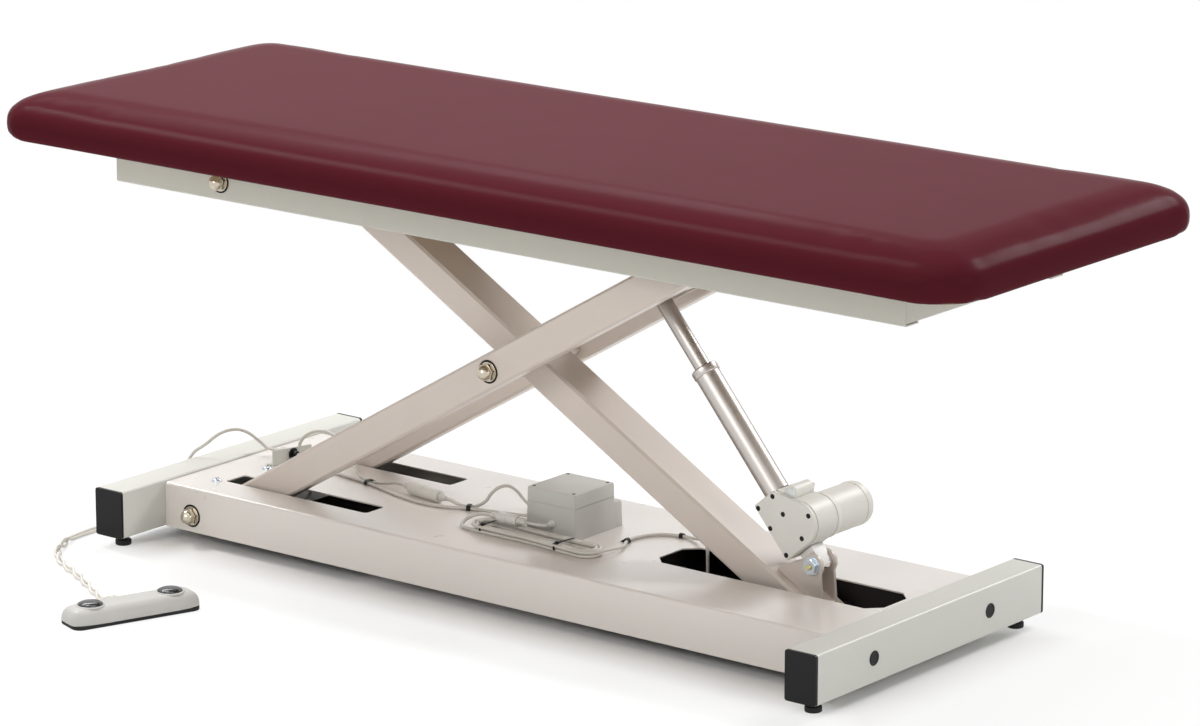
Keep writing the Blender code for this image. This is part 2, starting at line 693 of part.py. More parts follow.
def bar_cap(name, low, high, side):
    face = side * BAR_SPAN / 2
    start, end = sorted((face, face - side * CAP_THICKNESS))
    plate = extrusion(name, [rounded_rectangle((low, BAR_BOTTOM), (high, BAR_TOP), BAR_CORNER)], "Y", start, end)
    gap = BAR_WALL + CLEARANCE
    outer = rounded_rectangle((low + gap, BAR_BOTTOM + gap), (high - gap, BAR_TOP - gap), BAR_CORNER - BAR_WALL)
    deep = gap + CAP_STUB_WALL
    inner = rounded_rectangle((low + deep, BAR_BOTTOM + deep), (high - deep, BAR_TOP - deep),
                              BAR_CORNER - BAR_WALL)
    inside = face - side * (CAP_THICKNESS + CAP_STUB_DEPTH)
    start, end = sorted((face - side * CAP_THICKNESS / 2, inside))
    return join(plate, extrusion(name + "_stub", [outer, inner], "Y", start, end))


def levelling_foot(name, x, y):
    top = BAR_BOTTOM - CLEARANCE
    profile = [(0, top + FOOT_STEM_RISE), (FOOT_STEM_RADIUS, top + FOOT_STEM_RISE), (FOOT_STEM_RADIUS, top),
               (FOOT_NECK_RADIUS, top), (FOOT_NECK_RADIUS, FOOT_DISC_HEIGHT),
               (FOOT_RADIUS - FOOT_CHAMFER, FOOT_DISC_HEIGHT), (FOOT_RADIUS, FOOT_DISC_HEIGHT - FOOT_CHAMFER),
               (FOOT_RADIUS, FOOT_CHAMFER), (FOOT_RADIUS - FOOT_CHAMFER, 0), (0, 0)]
    return turned(name, profile, (x, y, 0), (0, 0, 1), steps=SMALL_STEPS)


def tray_section():
    half, lip = TRAY_WIDTH / 2, TRAY_WIDTH / 2 - TRAY_LIP
    inside = half - TRAY_SHEET
    low, floor = BAR_BOTTOM, BAR_BOTTOM + TRAY_SHEET
    under = TRAY_TOP - TRAY_SHEET
    corner = TRAY_CORNER
    outline = [(lip, low), (half, low)]
    outline += arc((half - corner, TRAY_TOP - corner), corner, 0, 90, 4)
    outline += arc((corner - half, TRAY_TOP - corner), corner, 90, 180, 4)
    outline += [(-half, low), (-lip, low), (-lip, floor), (-inside, floor), (-inside, under)]
    outline += [(inside, under), (inside, floor), (lip, floor)]
    return outline


def chassis():
    tray = extrusion("chassis", [tray_section()], "X", CLEARANCE, BASE_LENGTH - CLEARANCE)
    through = (TRAY_TOP - TRAY_SHEET - OVERRUN, TRAY_TOP + OVERRUN)
    for side, label in ((-1, "near"), (1, "far")):
        y = sorted((side * (ARM_INNER_Y - SLOT_MARGIN), side * (ARM_OUTER_Y + SLOT_MARGIN)))
        slot = rounded_rectangle((SLOT_START, y[0]), (SLOT_END, y[1]), SLOT_CORNER)
        cut(tray, extrusion("arm_slot_" + label, [slot], "Z", *through))
    half, slant = WELL_HALF_WIDTH, WELL_SLANT
    well = [(WELL_START, -half + slant), (WELL_START + slant, -half), (WELL_END - slant, -half),
            (WELL_END, -half + slant), (WELL_END, half - slant), (WELL_END - slant, half),
            (WELL_START + slant, half), (WELL_START, half - slant)]
    cut(tray, extrusion("drive_well", [well], "Z", *through))
    cut(tray, rod("base_pivot_holes", (BASE_PIVOT_X, 0, PIVOT_Z), BORE_RADIUS,
                  -TRAY_WIDTH / 2 - OVERRUN, TRAY_WIDTH / 2 + OVERRUN))
    return tray


def base_track():
    """A hat section under the deck that the base rollers run in."""
    floor = PIVOT_Z - BASE_ROLLER_RADIUS - TRACK_GAP
    under = TRAY_TOP - TRAY_SHEET - CLEARANCE
    half, flange, sheet = BASE_TRACK_HALF, BASE_TRACK_HALF + BASE_TRACK_FLANGE, TRAY_SHEET
    outline = [(half, floor - sheet), (half, under - sheet), (flange, under - sheet), (flange, under),
               (half - sheet, under), (half - sheet, floor), (sheet - half, floor), (sheet - half, under),
               (-flange, under), (-flange, under - sheet), (-half, under - sheet), (-half, floor - sheet)]
    return extrusion("base_track", [outline], "X", BASE_TRACK_START, BASE_LENGTH - BASE_TRACK_END_GAP)


def pivot_bolt(name, x, z, half_span):
    head = half_span + CLEARANCE
    profile = [(0, head + BOLT_HEAD_HEIGHT), (BOLT_HEAD_RADIUS, head + BOLT_HEAD_HEIGHT),
               (BOLT_HEAD_RADIUS, head), (BOLT_RADIUS, head), (BOLT_RADIUS, -head - BOLT_THREAD_LENGTH),
               (0, -head - BOLT_THREAD_LENGTH)]
    return turned(name, profile, (x, 0, z), (0, 1, 0))


def acorn_nut(name, x, z, half_span):
    """A hexagon with a dome, over the end of the pivot bolt on the near side."""
    seat = -half_span - CLEARANCE
    nut = rod(name, (x, 0, z), NUT_RADIUS, seat - NUT_HEX_HEIGHT, seat, steps=6)
    dome = [(NUT_DOME_RADIUS * math.sin(t), NUT_HEX_HEIGHT + NUT_DOME_RADIUS * math.cos(t))
            for t in [math.pi / 2 * i / DOME_STEPS for i in range(DOME_STEPS + 1)]]
    dome.append((NUT_DOME_RADIUS, NUT_HEX_HEIGHT / 2))
    dome.append((0, NUT_HEX_HEIGHT / 2))
    join(nut, turned(name + "_dome", dome, (x, seat, z), (0, -1, 0), steps=SMALL_STEPS))
    depth = BOLT_THREAD_LENGTH + CLEARANCE
    return cut(nut, rod(name + "_thread", (x, 0, z), BORE_RADIUS, seat - depth, seat + OVERRUN))


def power_box():
    bottom = TRAY_TOP + CLEARANCE
    box = rounded_block("power_box", (BOX_START, BOX_NEAR_Y, bottom), (BOX_END, BOX_FAR_Y, bottom + BOX_HEIGHT),
                        BOX_EDGE)
    step = rounded_block("power_box_step", (BOX_START, BOX_FAR_Y - BOX_HEIGHT / 2, bottom),
                         (BOX_END, BOX_STEP_Y, bottom + BOX_STEP_HEIGHT), BOX_EDGE)
    return join(box, step)


def cord_bracket():
    """An upright plate with a sloping top and a foot, which holds the cord's socket."""
    bottom = TRAY_TOP + CLEARANCE
    near, far = CORD_BRACKET_NEAR_Y, CORD_BRACKET_FAR_Y
    outline = [(near, bottom), (far, bottom), (far, bottom + CORD_BRACKET_FAR_RISE),
               (near, bottom + CORD_BRACKET_NEAR_RISE)]
    plate = extrusion("cord_bracket", [outline], "X", CORD_BRACKET_X - TRAY_SHEET, CORD_BRACKET_X)
    foot = block("cord_bracket_foot", (CORD_BRACKET_X - CORD_BRACKET_FOOT, near, bottom),
                 (CORD_BRACKET_X - TRAY_SHEET / 2, SOCKET_Y - 2 * PLUG_RADIUS, bottom + TRAY_SHEET))
    join(plate, foot)
    return cut(plate, rod("socket_hole", (0, SOCKET_Y, TRAY_TOP + SOCKET_RISE), SOCKET_RADIUS,
                          CORD_BRACKET_X - 2 * TRAY_SHEET, CORD_BRACKET_X + TRAY_SHEET, "X"))


def cord_plug():
    """The plug on the foot cord: a round body, a tapered tail and a tongue in the bracket's hole."""
    back = -TRAY_SHEET - CLEARANCE
    end = back - PLUG_LENGTH
    profile = [(0, 0), (PLUG_TONGUE_RADIUS, 0), (PLUG_TONGUE_RADIUS, back), (PLUG_RADIUS, back),
               (PLUG_RADIUS, end), (PLUG_TAIL_RADIUS, end - TRAY_SHEET),
               (CABLE_RADIUS + CLEARANCE, end - PLUG_TAIL_LENGTH), (0, end - PLUG_TAIL_LENGTH)]
    return turned("foot_cord_plug", profile, (CORD_BRACKET_X, SOCKET_Y, TRAY_TOP + SOCKET_RISE), (1, 0, 0),
                  steps=SMALL_STEPS)


def inline_connector(name, centre, direction, body, neck):
    """A round connector in a cable's run, with a tapered neck at each end and the cable's bore."""
    body_radius, body_length = body
    neck_radius, neck_length = neck
    half, end = body_length / 2, body_length / 2 + neck_length
    bore = CABLE_RADIUS + CLEARANCE
    slim = bore + CABLE_RADIUS / 3
    profile = [(bore, end), (slim, end), (neck_radius, half), (body_radius, half - CABLE_RADIUS),
               (body_radius, CABLE_RADIUS / 2), (body_radius - CABLE_RADIUS / 3, 0),
               (body_radius, -CABLE_RADIUS / 2), (body_radius, CABLE_RADIUS - half), (neck_radius, -half),
               (slim, -end), (bore, -end)]
    return turned(name, profile, centre, direction, steps=SMALL_STEPS)


# Foot control
def control_sole():
    half = (CONTROL_LENGTH / 2 - SOLE_INSET, CONTROL_WIDTH / 2 - SOLE_INSET)
    outline = rounded_rectangle((-half[0], -half[1]), half, CONTROL_CORNER - SOLE_INSET, 4)
    return extrusion("foot_control_sole", [outline], "Z", 0, SOLE_HEIGHT, CONTROL)


def control_housing():
    half = (CONTROL_LENGTH / 2, CONTROL_WIDTH / 2)
    outline = rounded_rectangle((-half[0], -half[1]), half, CONTROL_CORNER, 4)
    housing = extrusion("foot_control_housing", [outline], "Z", SOLE_HEIGHT + CLEARANCE, CONTROL_TOP, CONTROL)
    soften = housing.modifiers.new("edges", "BEVEL")
    soften.width = CONTROL_EDGE
    soften.segments = EDGE_SEGMENTS
    soften.angle_limit = math.radians(60)
    soften.limit_method = "ANGLE"
    baked(housing)
    for side, label in ((-1, "left"), (1, "right")):
        cut(housing, rod(f"button_{label}_well", (side * BUTTON_OFFSET, 0, 0), BUTTON_RADIUS + CLEARANCE,
                         BUTTON_WELL_FLOOR, CONTROL_TOP + OVERRUN, "Z", CONTROL))
    return housing


def foot_button(name, side):
    bottom = BUTTON_WELL_FLOOR + BUTTON_TRAVEL + BUTTON_SKIRT_GAP
    edge = BUTTON_TOP - BUTTON_DOME
    dome = [(BUTTON_RADIUS * math.sin(t), edge + BUTTON_DOME * math.cos(t))
            for t in [math.pi / 2 * i / DOME_STEPS for i in range(DOME_STEPS + 1)]]
    return turned(name, dome + [(BUTTON_RADIUS, bottom), (0, bottom)], (side * BUTTON_OFFSET, 0, 0), (0, 0, 1),
                  CONTROL)


# Arms
def outer_arm(name, side):
    half = ARM_DEPTH / 2
    pivot = (-LOWER_END_ALONG, LOWER_END_ABOVE)
    nose = (UPPER_END_ALONG, UPPER_END_BELOW)
    shoulder = math.degrees(math.asin((half - LOWER_END_ABOVE) / ARM_END_RADIUS))
    outline = arc(pivot, ARM_END_RADIUS, 180 - shoulder, 250)
    outline += [(-ARM_LOWER_CUT, -half), (ARM_UPPER_CUT, -half)]
    outline += arc(nose, ARM_NOSE_RADIUS, -100, 62)
    outline += [(ARM_UPPER_CUT, half)]
    low, high = sorted((side * ARM_INNER_Y, side * ARM_OUTER_Y))
    arm = extrusion(name, [outline], "Y", low, high, OUTER)
    soften = arm.modifiers.new("edges", "BEVEL")
    soften.width = ARM_CORNER
    soften.segments = EDGE_SEGMENTS
    soften.angle_limit = math.radians(60)
    soften.limit_method = "ANGLE"
    baked(arm)
    cavity = (ARM_CAVITY_MARGIN - ARM_LOWER_CUT, low + ARM_WALL, ARM_WALL - half)
    cavity_end = (ARM_UPPER_CUT - ARM_CAVITY_MARGIN, high - ARM_WALL, half - ARM_WALL)
    cut(arm, block(name + "_cavity", cavity, cavity_end, OUTER))
    for label, spot in (("base", pivot), ("centre", (0, 0)), ("top", nose)):
        radius = TOP_AXLE_RADIUS + CLEARANCE if label == "top" else BORE_RADIUS
        cut(arm, rod(f"{name}_{label}_bore", (spot[0], 0, spot[1]), radius, low - OVERRUN, high + OVERRUN,
                     "Y", OUTER))
    return arm


def rod_bracket():
    """A cross plate between the outer arms, with two ears that stand on either side of the rod's eye."""
    inner = ARM_INNER_Y - CLEARANCE
    plate_low = ROD_PIN_ALONG + BRACKET_REACH
    plate = block("rod_bracket", (plate_low, -inner, -BRACKET_HALF_DEPTH),
                  (plate_low + BRACKET_PLATE, inner, BRACKET_HALF_DEPTH), OUTER)
    outline = [(plate_low + BRACKET_PLATE / 2, -BRACKET_HALF_DEPTH),
               (plate_low + BRACKET_PLATE / 2, BRACKET_HALF_DEPTH)]
    outline += arc((ROD_PIN_ALONG, 0), ROD_EYE_RADIUS, 90, 270)
    for side in (-1, 1):
        low, high = sorted((side * BRACKET_EAR_Y, side * (BRACKET_EAR_Y + BRACKET_EAR_THICKNESS)))
        join(plate, extrusion("rod_bracket_ear", [outline], "Y", low, high, OUTER))
    return plate


def inner_arm():
    """A box beam with the centre sleeve, and side lugs that carry the top pivot's sleeve."""
    half, side = BEAM_DEPTH / 2, BEAM_WIDTH / 2
    lower = (LOWER_END_ALONG, LOWER_END_ABOVE)
    upper = (-UPPER_END_ALONG, UPPER_END_BELOW)
    outline = [(-BEAM_UPPER_CUT, -half), (BEAM_LOWER_CUT, -half)]
    outline += arc(lower, BEAM_END_RADIUS, -70, 85)
    outline += [(EAR_FOOT_END, half), (-BEAM_UPPER_CUT, half)]
    outline += arc(upper, ARM_NOSE_RADIUS, 118, 280)
    beam = extrusion("inner_arm", [outline], "Y", -side, side, INNER)
    soften = beam.modifiers.new("edges", "BEVEL")
    soften.width = ARM_CORNER
    soften.segments = EDGE_SEGMENTS
    soften.angle_limit = math.radians(60)
    soften.limit_method = "ANGLE"
    baked(beam)
    reach = UPPER_END_ALONG + ARM_NOSE_RADIUS + OVERRUN
    cut(beam, block("beam_cavity", (-reach, BEAM_WALL - side, BEAM_WALL - half),
                    (BEAM_LOWER_CUT - BEAM_DEPTH, side - BEAM_WALL, half - BEAM_WALL), INNER))
    cut(beam, block("lug_gap", (-reach, LUG_THICKNESS - side, -reach), (-BEAM_UPPER_CUT, side - LUG_THICKNESS, half),
                    INNER))
    centre = rod("centre_sleeve", (0, 0, 0), SLEEVE_RADIUS, CLEARANCE - ARM_INNER_Y, ARM_INNER_Y - CLEARANCE,
                 "Y", INNER)
    top = rod("top_sleeve", (upper[0], 0, upper[1]), SLEEVE_RADIUS, -TOP_SLEEVE_HALF, TOP_SLEEVE_HALF, "Y", INNER)
    join(beam, centre, top)
    reach_y = TOP_SLEEVE_HALF + OVERRUN
    cut(beam, rod("centre_bore", (0, 0, 0), BORE_RADIUS, -reach_y, reach_y, "Y", INNER))
    cut(beam, rod("top_bore", (upper[0], 0, upper[1]), BORE_RADIUS, -reach_y, reach_y, "Y", INNER))
    cut(beam, rod("base_axle_bore", (lower[0], 0, lower[1]), BASE_AXLE_RADIUS + CLEARANCE, -side - OVERRUN,
                  side + OVERRUN, "Y", INNER))
    return beam


def actuator_ears():
    """A folded bracket on the beam, with an ear on each side of the actuator's clevis."""
    base = BEAM_DEPTH / 2 + CLEARANCE
    pin = (LOWER_PIN_ALONG, LOWER_PIN_ABOVE)
    outer = EAR_INNER_Y + EAR_THICKNESS
    outline = [(EAR_FOOT_START, base), (EAR_FOOT_END, base), (EAR_FOOT_END, base + EAR_BASE)]
    outline += arc(pin, EAR_RADIUS, -10, 190)
    outline += [(EAR_FOOT_START, base + EAR_BASE)]
    ears = extrusion("actuator_ears", [outline], "Y", -outer, outer, INNER)
    cut(ears, block("ear_gap", (EAR_FOOT_START - OVERRUN, -EAR_INNER_Y, base + EAR_BASE),
                    (EAR_FOOT_END + OVERRUN, EAR_INNER_Y, LOWER_PIN_ABOVE + EAR_RADIUS + OVERRUN), INNER))
    return cut(ears, rod("ear_bore", (pin[0], 0, pin[1]), LOWER_PIN_RADIUS + CLEARANCE, -outer - OVERRUN,
                         outer + OVERRUN, "Y", INNER, SMALL_STEPS))


def roller(name, x, z, low, high, radius, bore, frame=BASE):
    half = (high - low) / 2
    edge = ROLLER_CHAMFER
    profile = [(bore, half), (radius - edge, half), (radius, half - edge), (radius, edge - half),
               (radius - edge, -half), (bore, -half)]
    return turned(name, profile, (x, (low + high) / 2, z), (0, 1, 0), frame)


def base_axle():
    end = BEAM_WIDTH / 2 + BASE_ROLLER_GAP + BASE_ROLLER_WIDTH + CLEARANCE
    profile = [(0, end + AXLE_FLANGE), (AXLE_FLANGE_RADIUS, end + AXLE_FLANGE), (AXLE_FLANGE_RADIUS, end),
               (BASE_AXLE_RADIUS, end), (BASE_AXLE_RADIUS, -end), (AXLE_FLANGE_RADIUS, -end),
               (AXLE_FLANGE_RADIUS, -end - AXLE_FLANGE), (0, -end - AXLE_FLANGE)]
    return turned("base_axle", profile, (LOWER_END_ALONG, 0, LOWER_END_ABOVE), (0, 1, 0), INNER)


# Top
def frame_rail(name, side):
    outline = channel(side * FRAME_HALF_WIDTH, side * (FRAME_HALF_WIDTH - FLANGE), FRAME_BOTTOM, FRAME_TOP,
                      FRAME_SHEET, FRAME_BEND)
    rail = extrusion(name, [outline], "X", FRAME_LEFT, FRAME_RIGHT)
    return cut(rail, rod(name + "_bore", (TOP_PIVOT_X, 0, TOP_PIVOT_Z), BORE_RADIUS, -FRAME_HALF_WIDTH - OVERRUN,
                         FRAME_HALF_WIDTH + OVERRUN))


def frame_end(name, web, inward):
    gap = FRAME_SHEET + CLEARANCE
    reach = FRAME_HALF_WIDTH - gap
    outline = channel(web, web + inward * FLANGE, FRAME_BOTTOM + gap, FRAME_TOP - gap, FRAME_SHEET, FRAME_BEND)
    return extrusion(name, [outline], "Y", -reach, reach)


def top_track(name, side):
    web = FRAME_HALF_WIDTH - FRAME_SHEET - CLEARANCE
    bottom = TOP_PIVOT_Z - TOP_ROLLER_RADIUS - TRACK_GAP - FRAME_SHEET
    top = TOP_PIVOT_Z + TOP_ROLLER_RADIUS + TRACK_GAP + FRAME_SHEET
    outline = channel(side * web, side * (web - FLANGE), bottom, top, FRAME_SHEET, FRAME_BEND)
    return extrusion(name, [outline], "X", TRACK_LEFT, TRACK_RIGHT)


def pad_ring(inset, height):
    low = (PAD_LEFT + inset, -PAD_HALF_WIDTH + inset)
    high = (PAD_RIGHT - inset, PAD_HALF_WIDTH - inset)
    corner = max(PAD_CORNER - inset, PAD_CORNER / 3)
    return [Vector((x, y, height)) for x, y in rounded_rectangle(low, high, corner, PAD_CORNER_STEPS)]


def pad_board():
    low = (PAD_LEFT + BOARD_INSET, -PAD_HALF_WIDTH + BOARD_INSET)
    high = (PAD_RIGHT - BOARD_INSET, PAD_HALF_WIDTH - BOARD_INSET)
    outline = rounded_rectangle(low, high, PAD_CORNER - BOARD_INSET, PAD_CORNER_STEPS)
    return extrusion("pad_board", [outline], "Z", BOARD_BOTTOM, BOARD_BOTTOM + BOARD_THICKNESS)


def cushion():
    """A crowned pad lofted through rings that draw in towards its top, with a recess for its board."""
    bottom = BOARD_BOTTOM + PAD_SKIRT_RISE
    shape = bmesh.new()
    rings = []
    for height, inset in PAD_SECTION_SHARES:
        ring = pad_ring(inset * PAD_THICKNESS, bottom + height * PAD_THICKNESS)
        rings.append([shape.verts.new(point) for point in ring])
    for lower, upper in zip(rings, rings[1:]):
        for i in range(len(lower)):
            j = (i + 1) % len(lower)
            shape.faces.new((lower[i], lower[j], upper[j], upper[i]))
    shape.faces.new(rings[-1])
    shape.faces.new(rings[0][::-1])
    pad = mesh_object("cushion", shape, BASE)
    inset = BOARD_INSET - CLEARANCE
    low = (PAD_LEFT + inset, -PAD_HALF_WIDTH + inset)
    high = (PAD_RIGHT - inset, PAD_HALF_WIDTH - inset)
    recess = rounded_rectangle(low, high, PAD_CORNER - inset, PAD_CORNER_STEPS)
    return cut(pad, extrusion("pad_recess", [recess], "Z", BOARD_BOTTOM - OVERRUN,
                              BOARD_BOTTOM + BOARD_THICKNESS + CLEARANCE))


# Actuator
def gearbox_outline(shrink=0.0):
    """A teardrop round the worm wheel, drawn up to the square flange that takes the tube."""
    wheel = (GEARBOX_WHEEL_ALONG, GEARBOX_WHEEL_ACROSS)
    outline = [(GEARBOX_END - shrink, GEARBOX_TOP_RIGHT + shrink), (GEARBOX_END - shrink, GEARBOX_LEFT - shrink),
               (GEARBOX_START + shrink, GEARBOX_LEFT - shrink)]
    return outline + arc(wheel, GEARBOX_WHEEL_RADIUS - shrink, 180, 318, 2 * ARC_STEPS)


def gearbox_housing():
    near, far = GEARBOX_NEAR_Y, GEARBOX_FAR_Y
    housing = extrusion("gearbox_housing", [gearbox_outline()], "Y", near, far, DRIVE)
    boss = rod("gearbox_boss", (BOSS_ALONG, 0, BOSS_ACROSS), BOSS_RADIUS, near + GEARBOX_EDGE, far - GEARBOX_EDGE,
               "Y", DRIVE)
    cap = rod("gearbox_boss_cap", (BOSS_ALONG, 0, BOSS_ACROSS), BOSS_CAP_RADIUS,
              near + GEARBOX_EDGE - BOSS_CAP_HEIGHT, near + 2 * GEARBOX_EDGE, "Y", DRIVE, SMALL_STEPS)
    join(housing, boss, cap)
    return cut(housing, rod("gearbox_bore", (0, 0, 0), TUBE_BORE_RADIUS, GEARBOX_END - TUBE_BORE_DEPTH,
                            GEARBOX_END + OVERRUN, "X", DRIVE))


def gearbox_cover():
    back = GEARBOX_NEAR_Y - CLEARANCE
    front = back - COVER_THICKNESS
    cover = extrusion("gearbox_cover", [gearbox_outline()], "Y", front, back, DRIVE)
    soften = cover.modifiers.new("edges", "BEVEL")
    soften.width = GEARBOX_EDGE / 2
    soften.segments = EDGE_SEGMENTS
    soften.angle_limit = math.radians(60)
    soften.limit_method = "ANGLE"
    baked(cover)
    inset = 2 * COVER_SCREW_RADIUS
    spots = arc((GEARBOX_WHEEL_ALONG, GEARBOX_WHEEL_ACROSS), GEARBOX_WHEEL_RADIUS - inset, 190, 310, 3)
    left = GEARBOX_LEFT - inset
    spots += [(GEARBOX_START + inset, left), ((GEARBOX_START + GEARBOX_END) / 2, left), (GEARBOX_END - inset, left)]
    for i, (along, across) in enumerate(spots):
        cut(cover, rod(f"cover_screw_{i}", (along, 0, across), COVER_SCREW_RADIUS, front - OVERRUN,
                       front + COVER_SCREW_DEPTH, "Y", DRIVE, SMALL_STEPS // 2))
    return cover


def motor_housing():
    start, end = GEARBOX_FAR_Y + CLEARANCE, MOTOR_END_Y
    rim, band, wide = MOTOR_RIM, MOTOR_RADIUS - MOTOR_BAND, MOTOR_BAND_WIDTH
    profile = [(0, end), (MOTOR_RADIUS - rim, end), (MOTOR_RADIUS, end - rim), (MOTOR_RADIUS, end - wide),
               (band, end - wide), (band, start + wide), (MOTOR_RADIUS, start + wide), (MOTOR_RADIUS, start),
               (0, start)]
    return turned("motor_housing", profile, (GEARBOX_WHEEL_ALONG, 0, GEARBOX_WHEEL_ACROSS), (0, 1, 0), DRIVE)


def actuator_tube():
    start, bore = GEARBOX_END + CLEARANCE, TUBE_BORE_RADIUS
    collar = TUBE_END - COLLAR_WIDTH
    edge = COLLAR_CHAMFER
    profile = [(bore, TUBE_END), (COLLAR_RADIUS - edge, TUBE_END), (COLLAR_RADIUS, TUBE_END - edge),
               (COLLAR_RADIUS, collar), (TUBE_RADIUS, collar), (TUBE_RADIUS, start), (bore, start)]
    return turned("actuator_tube", profile, (0, 0, 0), (1, 0, 0), DRIVE)


def rear_clevis():
    half = EAR_INNER_Y - CLEARANCE
    outline = arc((0, 0), CLEVIS_RADIUS, 90, 270) + [(GEARBOX_START - CLEARANCE, -CLEVIS_RADIUS),
                                                    (GEARBOX_START - CLEARANCE, CLEVIS_RADIUS)]
    clevis = extrusion("rear_clevis", [outline], "Y", -half, half, DRIVE)
    return cut(clevis, rod("clevis_bore", (0, 0, 0), LOWER_PIN_RADIUS + CLEARANCE, -half - OVERRUN,
                           half + OVERRUN, "Y", DRIVE, SMALL_STEPS))


def lower_pin():
    ear = EAR_INNER_Y + EAR_THICKNESS + CLEARANCE
    radius, head = LOWER_PIN_RADIUS, LOWER_PIN_HEAD_RADIUS
    profile = [(0, ear + LOWER_PIN_TAIL), (radius, ear + LOWER_PIN_TAIL), (radius, -ear), (head, -ear),
               (head, -ear - LOWER_PIN_HEAD), (0, -ear - LOWER_PIN_HEAD)]
    return turned("lower_pin", profile, (LOWER_PIN_ALONG, 0, LOWER_PIN_ABOVE), (0, 1, 0), INNER, SMALL_STEPS)


def actuator_rod():
    body = rod("actuator_rod", (0, 0, 0), ROD_RADIUS, DRIVE_LENGTH - ROD_LENGTH, DRIVE_LENGTH, "X", DRIVE)
    join(body, rod("rod_eye", (DRIVE_LENGTH, 0, 0), ROD_EYE_RADIUS, -ROD_EYE_HALF, ROD_EYE_HALF, "Y", DRIVE))
    return cut(body, rod("rod_bore", (DRIVE_LENGTH, 0, 0), ROD_PIN_RADIUS + CLEARANCE, -ROD_EYE_HALF - OVERRUN,
                         ROD_EYE_HALF + OVERRUN, "Y", DRIVE))


# Assembly
def empty_at(name, place, parent=None):
    axis = bpy.data.objects.new(name, None)
    PARTS.objects.link(axis)
    if parent:
        axis.parent = parent
        place = Vector(place) - parent.matrix_world.translation
    axis.location = place
    bpy.context.view_layer.update()
    return axis


def keep(piece, body, finish):
    """Move a finished piece to the parts, under its body's axis, and give it its material."""
    CUTTERS.objects.unlink(piece)
    PARTS.objects.link(piece)
    piece.display_type = "TEXTURED"
    piece.hide_render = False
    bpy.context.view_layer.update()
    place = piece.matrix_world.copy()
    piece.parent = body
    piece.matrix_parent_inverse = body.matrix_world.inverted()
    piece.matrix_world = place
    piece.data.materials.clear()
    piece.data.materials.append(finish)
    if piece.type == "MESH":
        piece.data.shade_smooth()
        piece.data.set_sharp_from_angle(angle=math.radians(35))
    return piece


def build_base(body, finish):
    bars = (("left", 0, -BAR_WIDTH), ("right", BASE_LENGTH, BASE_LENGTH + BAR_WIDTH))
    for name, inner, outer in bars:
        keep(floor_bar(name + "_bar", inner, outer, name == "right"), body, finish["frame"])
        low, high = min(inner, outer), max(inner, outer)
        for side, label in ((-1, "near"), (1, "far")):
            keep(bar_cap(f"cap_{name}_{label}", low, high, side), body, finish["black"])
    keep(chassis(), body, finish["arm"])
    keep(base_track(), body, finish["steel"])
    half = TRAY_WIDTH / 2
    keep(pivot_bolt("base_pivot_bolt", BASE_PIVOT_X, PIVOT_Z, half), body, finish["steel"])
    keep(acorn_nut("base_pivot_nut", BASE_PIVOT_X, PIVOT_Z, half), body, finish["nickel"])
    keep(power_box(), body, finish["grey"])
    keep(cord_bracket(), body, finish["frame"])
    keep(cord_plug(), body, finish["black"])
    start, end = Vector(LINK_ROUTE[12]), Vector(LINK_ROUTE[14])
    link = inline_connector("link_connector", (start + end) / 2, end - start,
                            (LINK_BODY_RADIUS, LINK_BODY_LENGTH), (LINK_NECK_RADIUS, LINK_NECK_LENGTH))
    keep(link, body, finish["cable"])
    start, end = Vector(MOTOR_ROUTE_IN[4]), Vector(MOTOR_ROUTE_IN[6])
    plug = inline_connector("motor_connector", (start + end) / 2, end - start,
                            (MOTOR_PLUG_BODY_RADIUS, MOTOR_PLUG_BODY_LENGTH),
                            (MOTOR_PLUG_NECK_RADIUS, MOTOR_PLUG_NECK_LENGTH))
    keep(plug, body, finish["cable"])


def build_cables(body, finish):
    for name, route in (("socket_cable", SOCKET_ROUTE), ("link_cable", LINK_ROUTE)):
        keep(cable(name, smooth_route(route, CABLE_STEP), TUBE_RESOLUTION, CABLE_RADIUS), body, finish["cable"])
    hank = hank_points()
    way_in = smooth_route(MOTOR_ROUTE_IN + [hank[0], hank[1]], CABLE_STEP)
    way_out = smooth_route([hank[-2], hank[-1]] + MOTOR_ROUTE_OUT, CABLE_STEP)
    points = way_in[:-1] + hank[1:-2] + way_out
    print("motor cable: least gap to itself", round(least_gap(points, CABLE_RADIUS, 6), 6))
    keep(cable("motor_cable", points, HANK_RESOLUTION, CABLE_RADIUS), body, finish["cable"])
    for name, route, phase in (("foot_cord", FOOT_CORD_ROUTE, 1), ("foot_cord_return", RETURN_CORD_ROUTE, -1)):
        points = foot_cord_points(route, phase)
        keep(cable(name, points, TUBE_RESOLUTION, CORD_RADIUS), body, finish["cable"])


def build_control(body, finish):
    keep(control_housing(), body, finish["grey"])
    keep(control_sole(), body, finish["black"])
    for name, side in (("left", -1), ("right", 1)):
        spot = CONTROL @ Vector((side * BUTTON_OFFSET, 0, BUTTON_TOP))
        axis = empty_at(f"button_{name}_axis", spot, body)
        keep(foot_button("foot_button_" + name, side), axis, finish["black"])


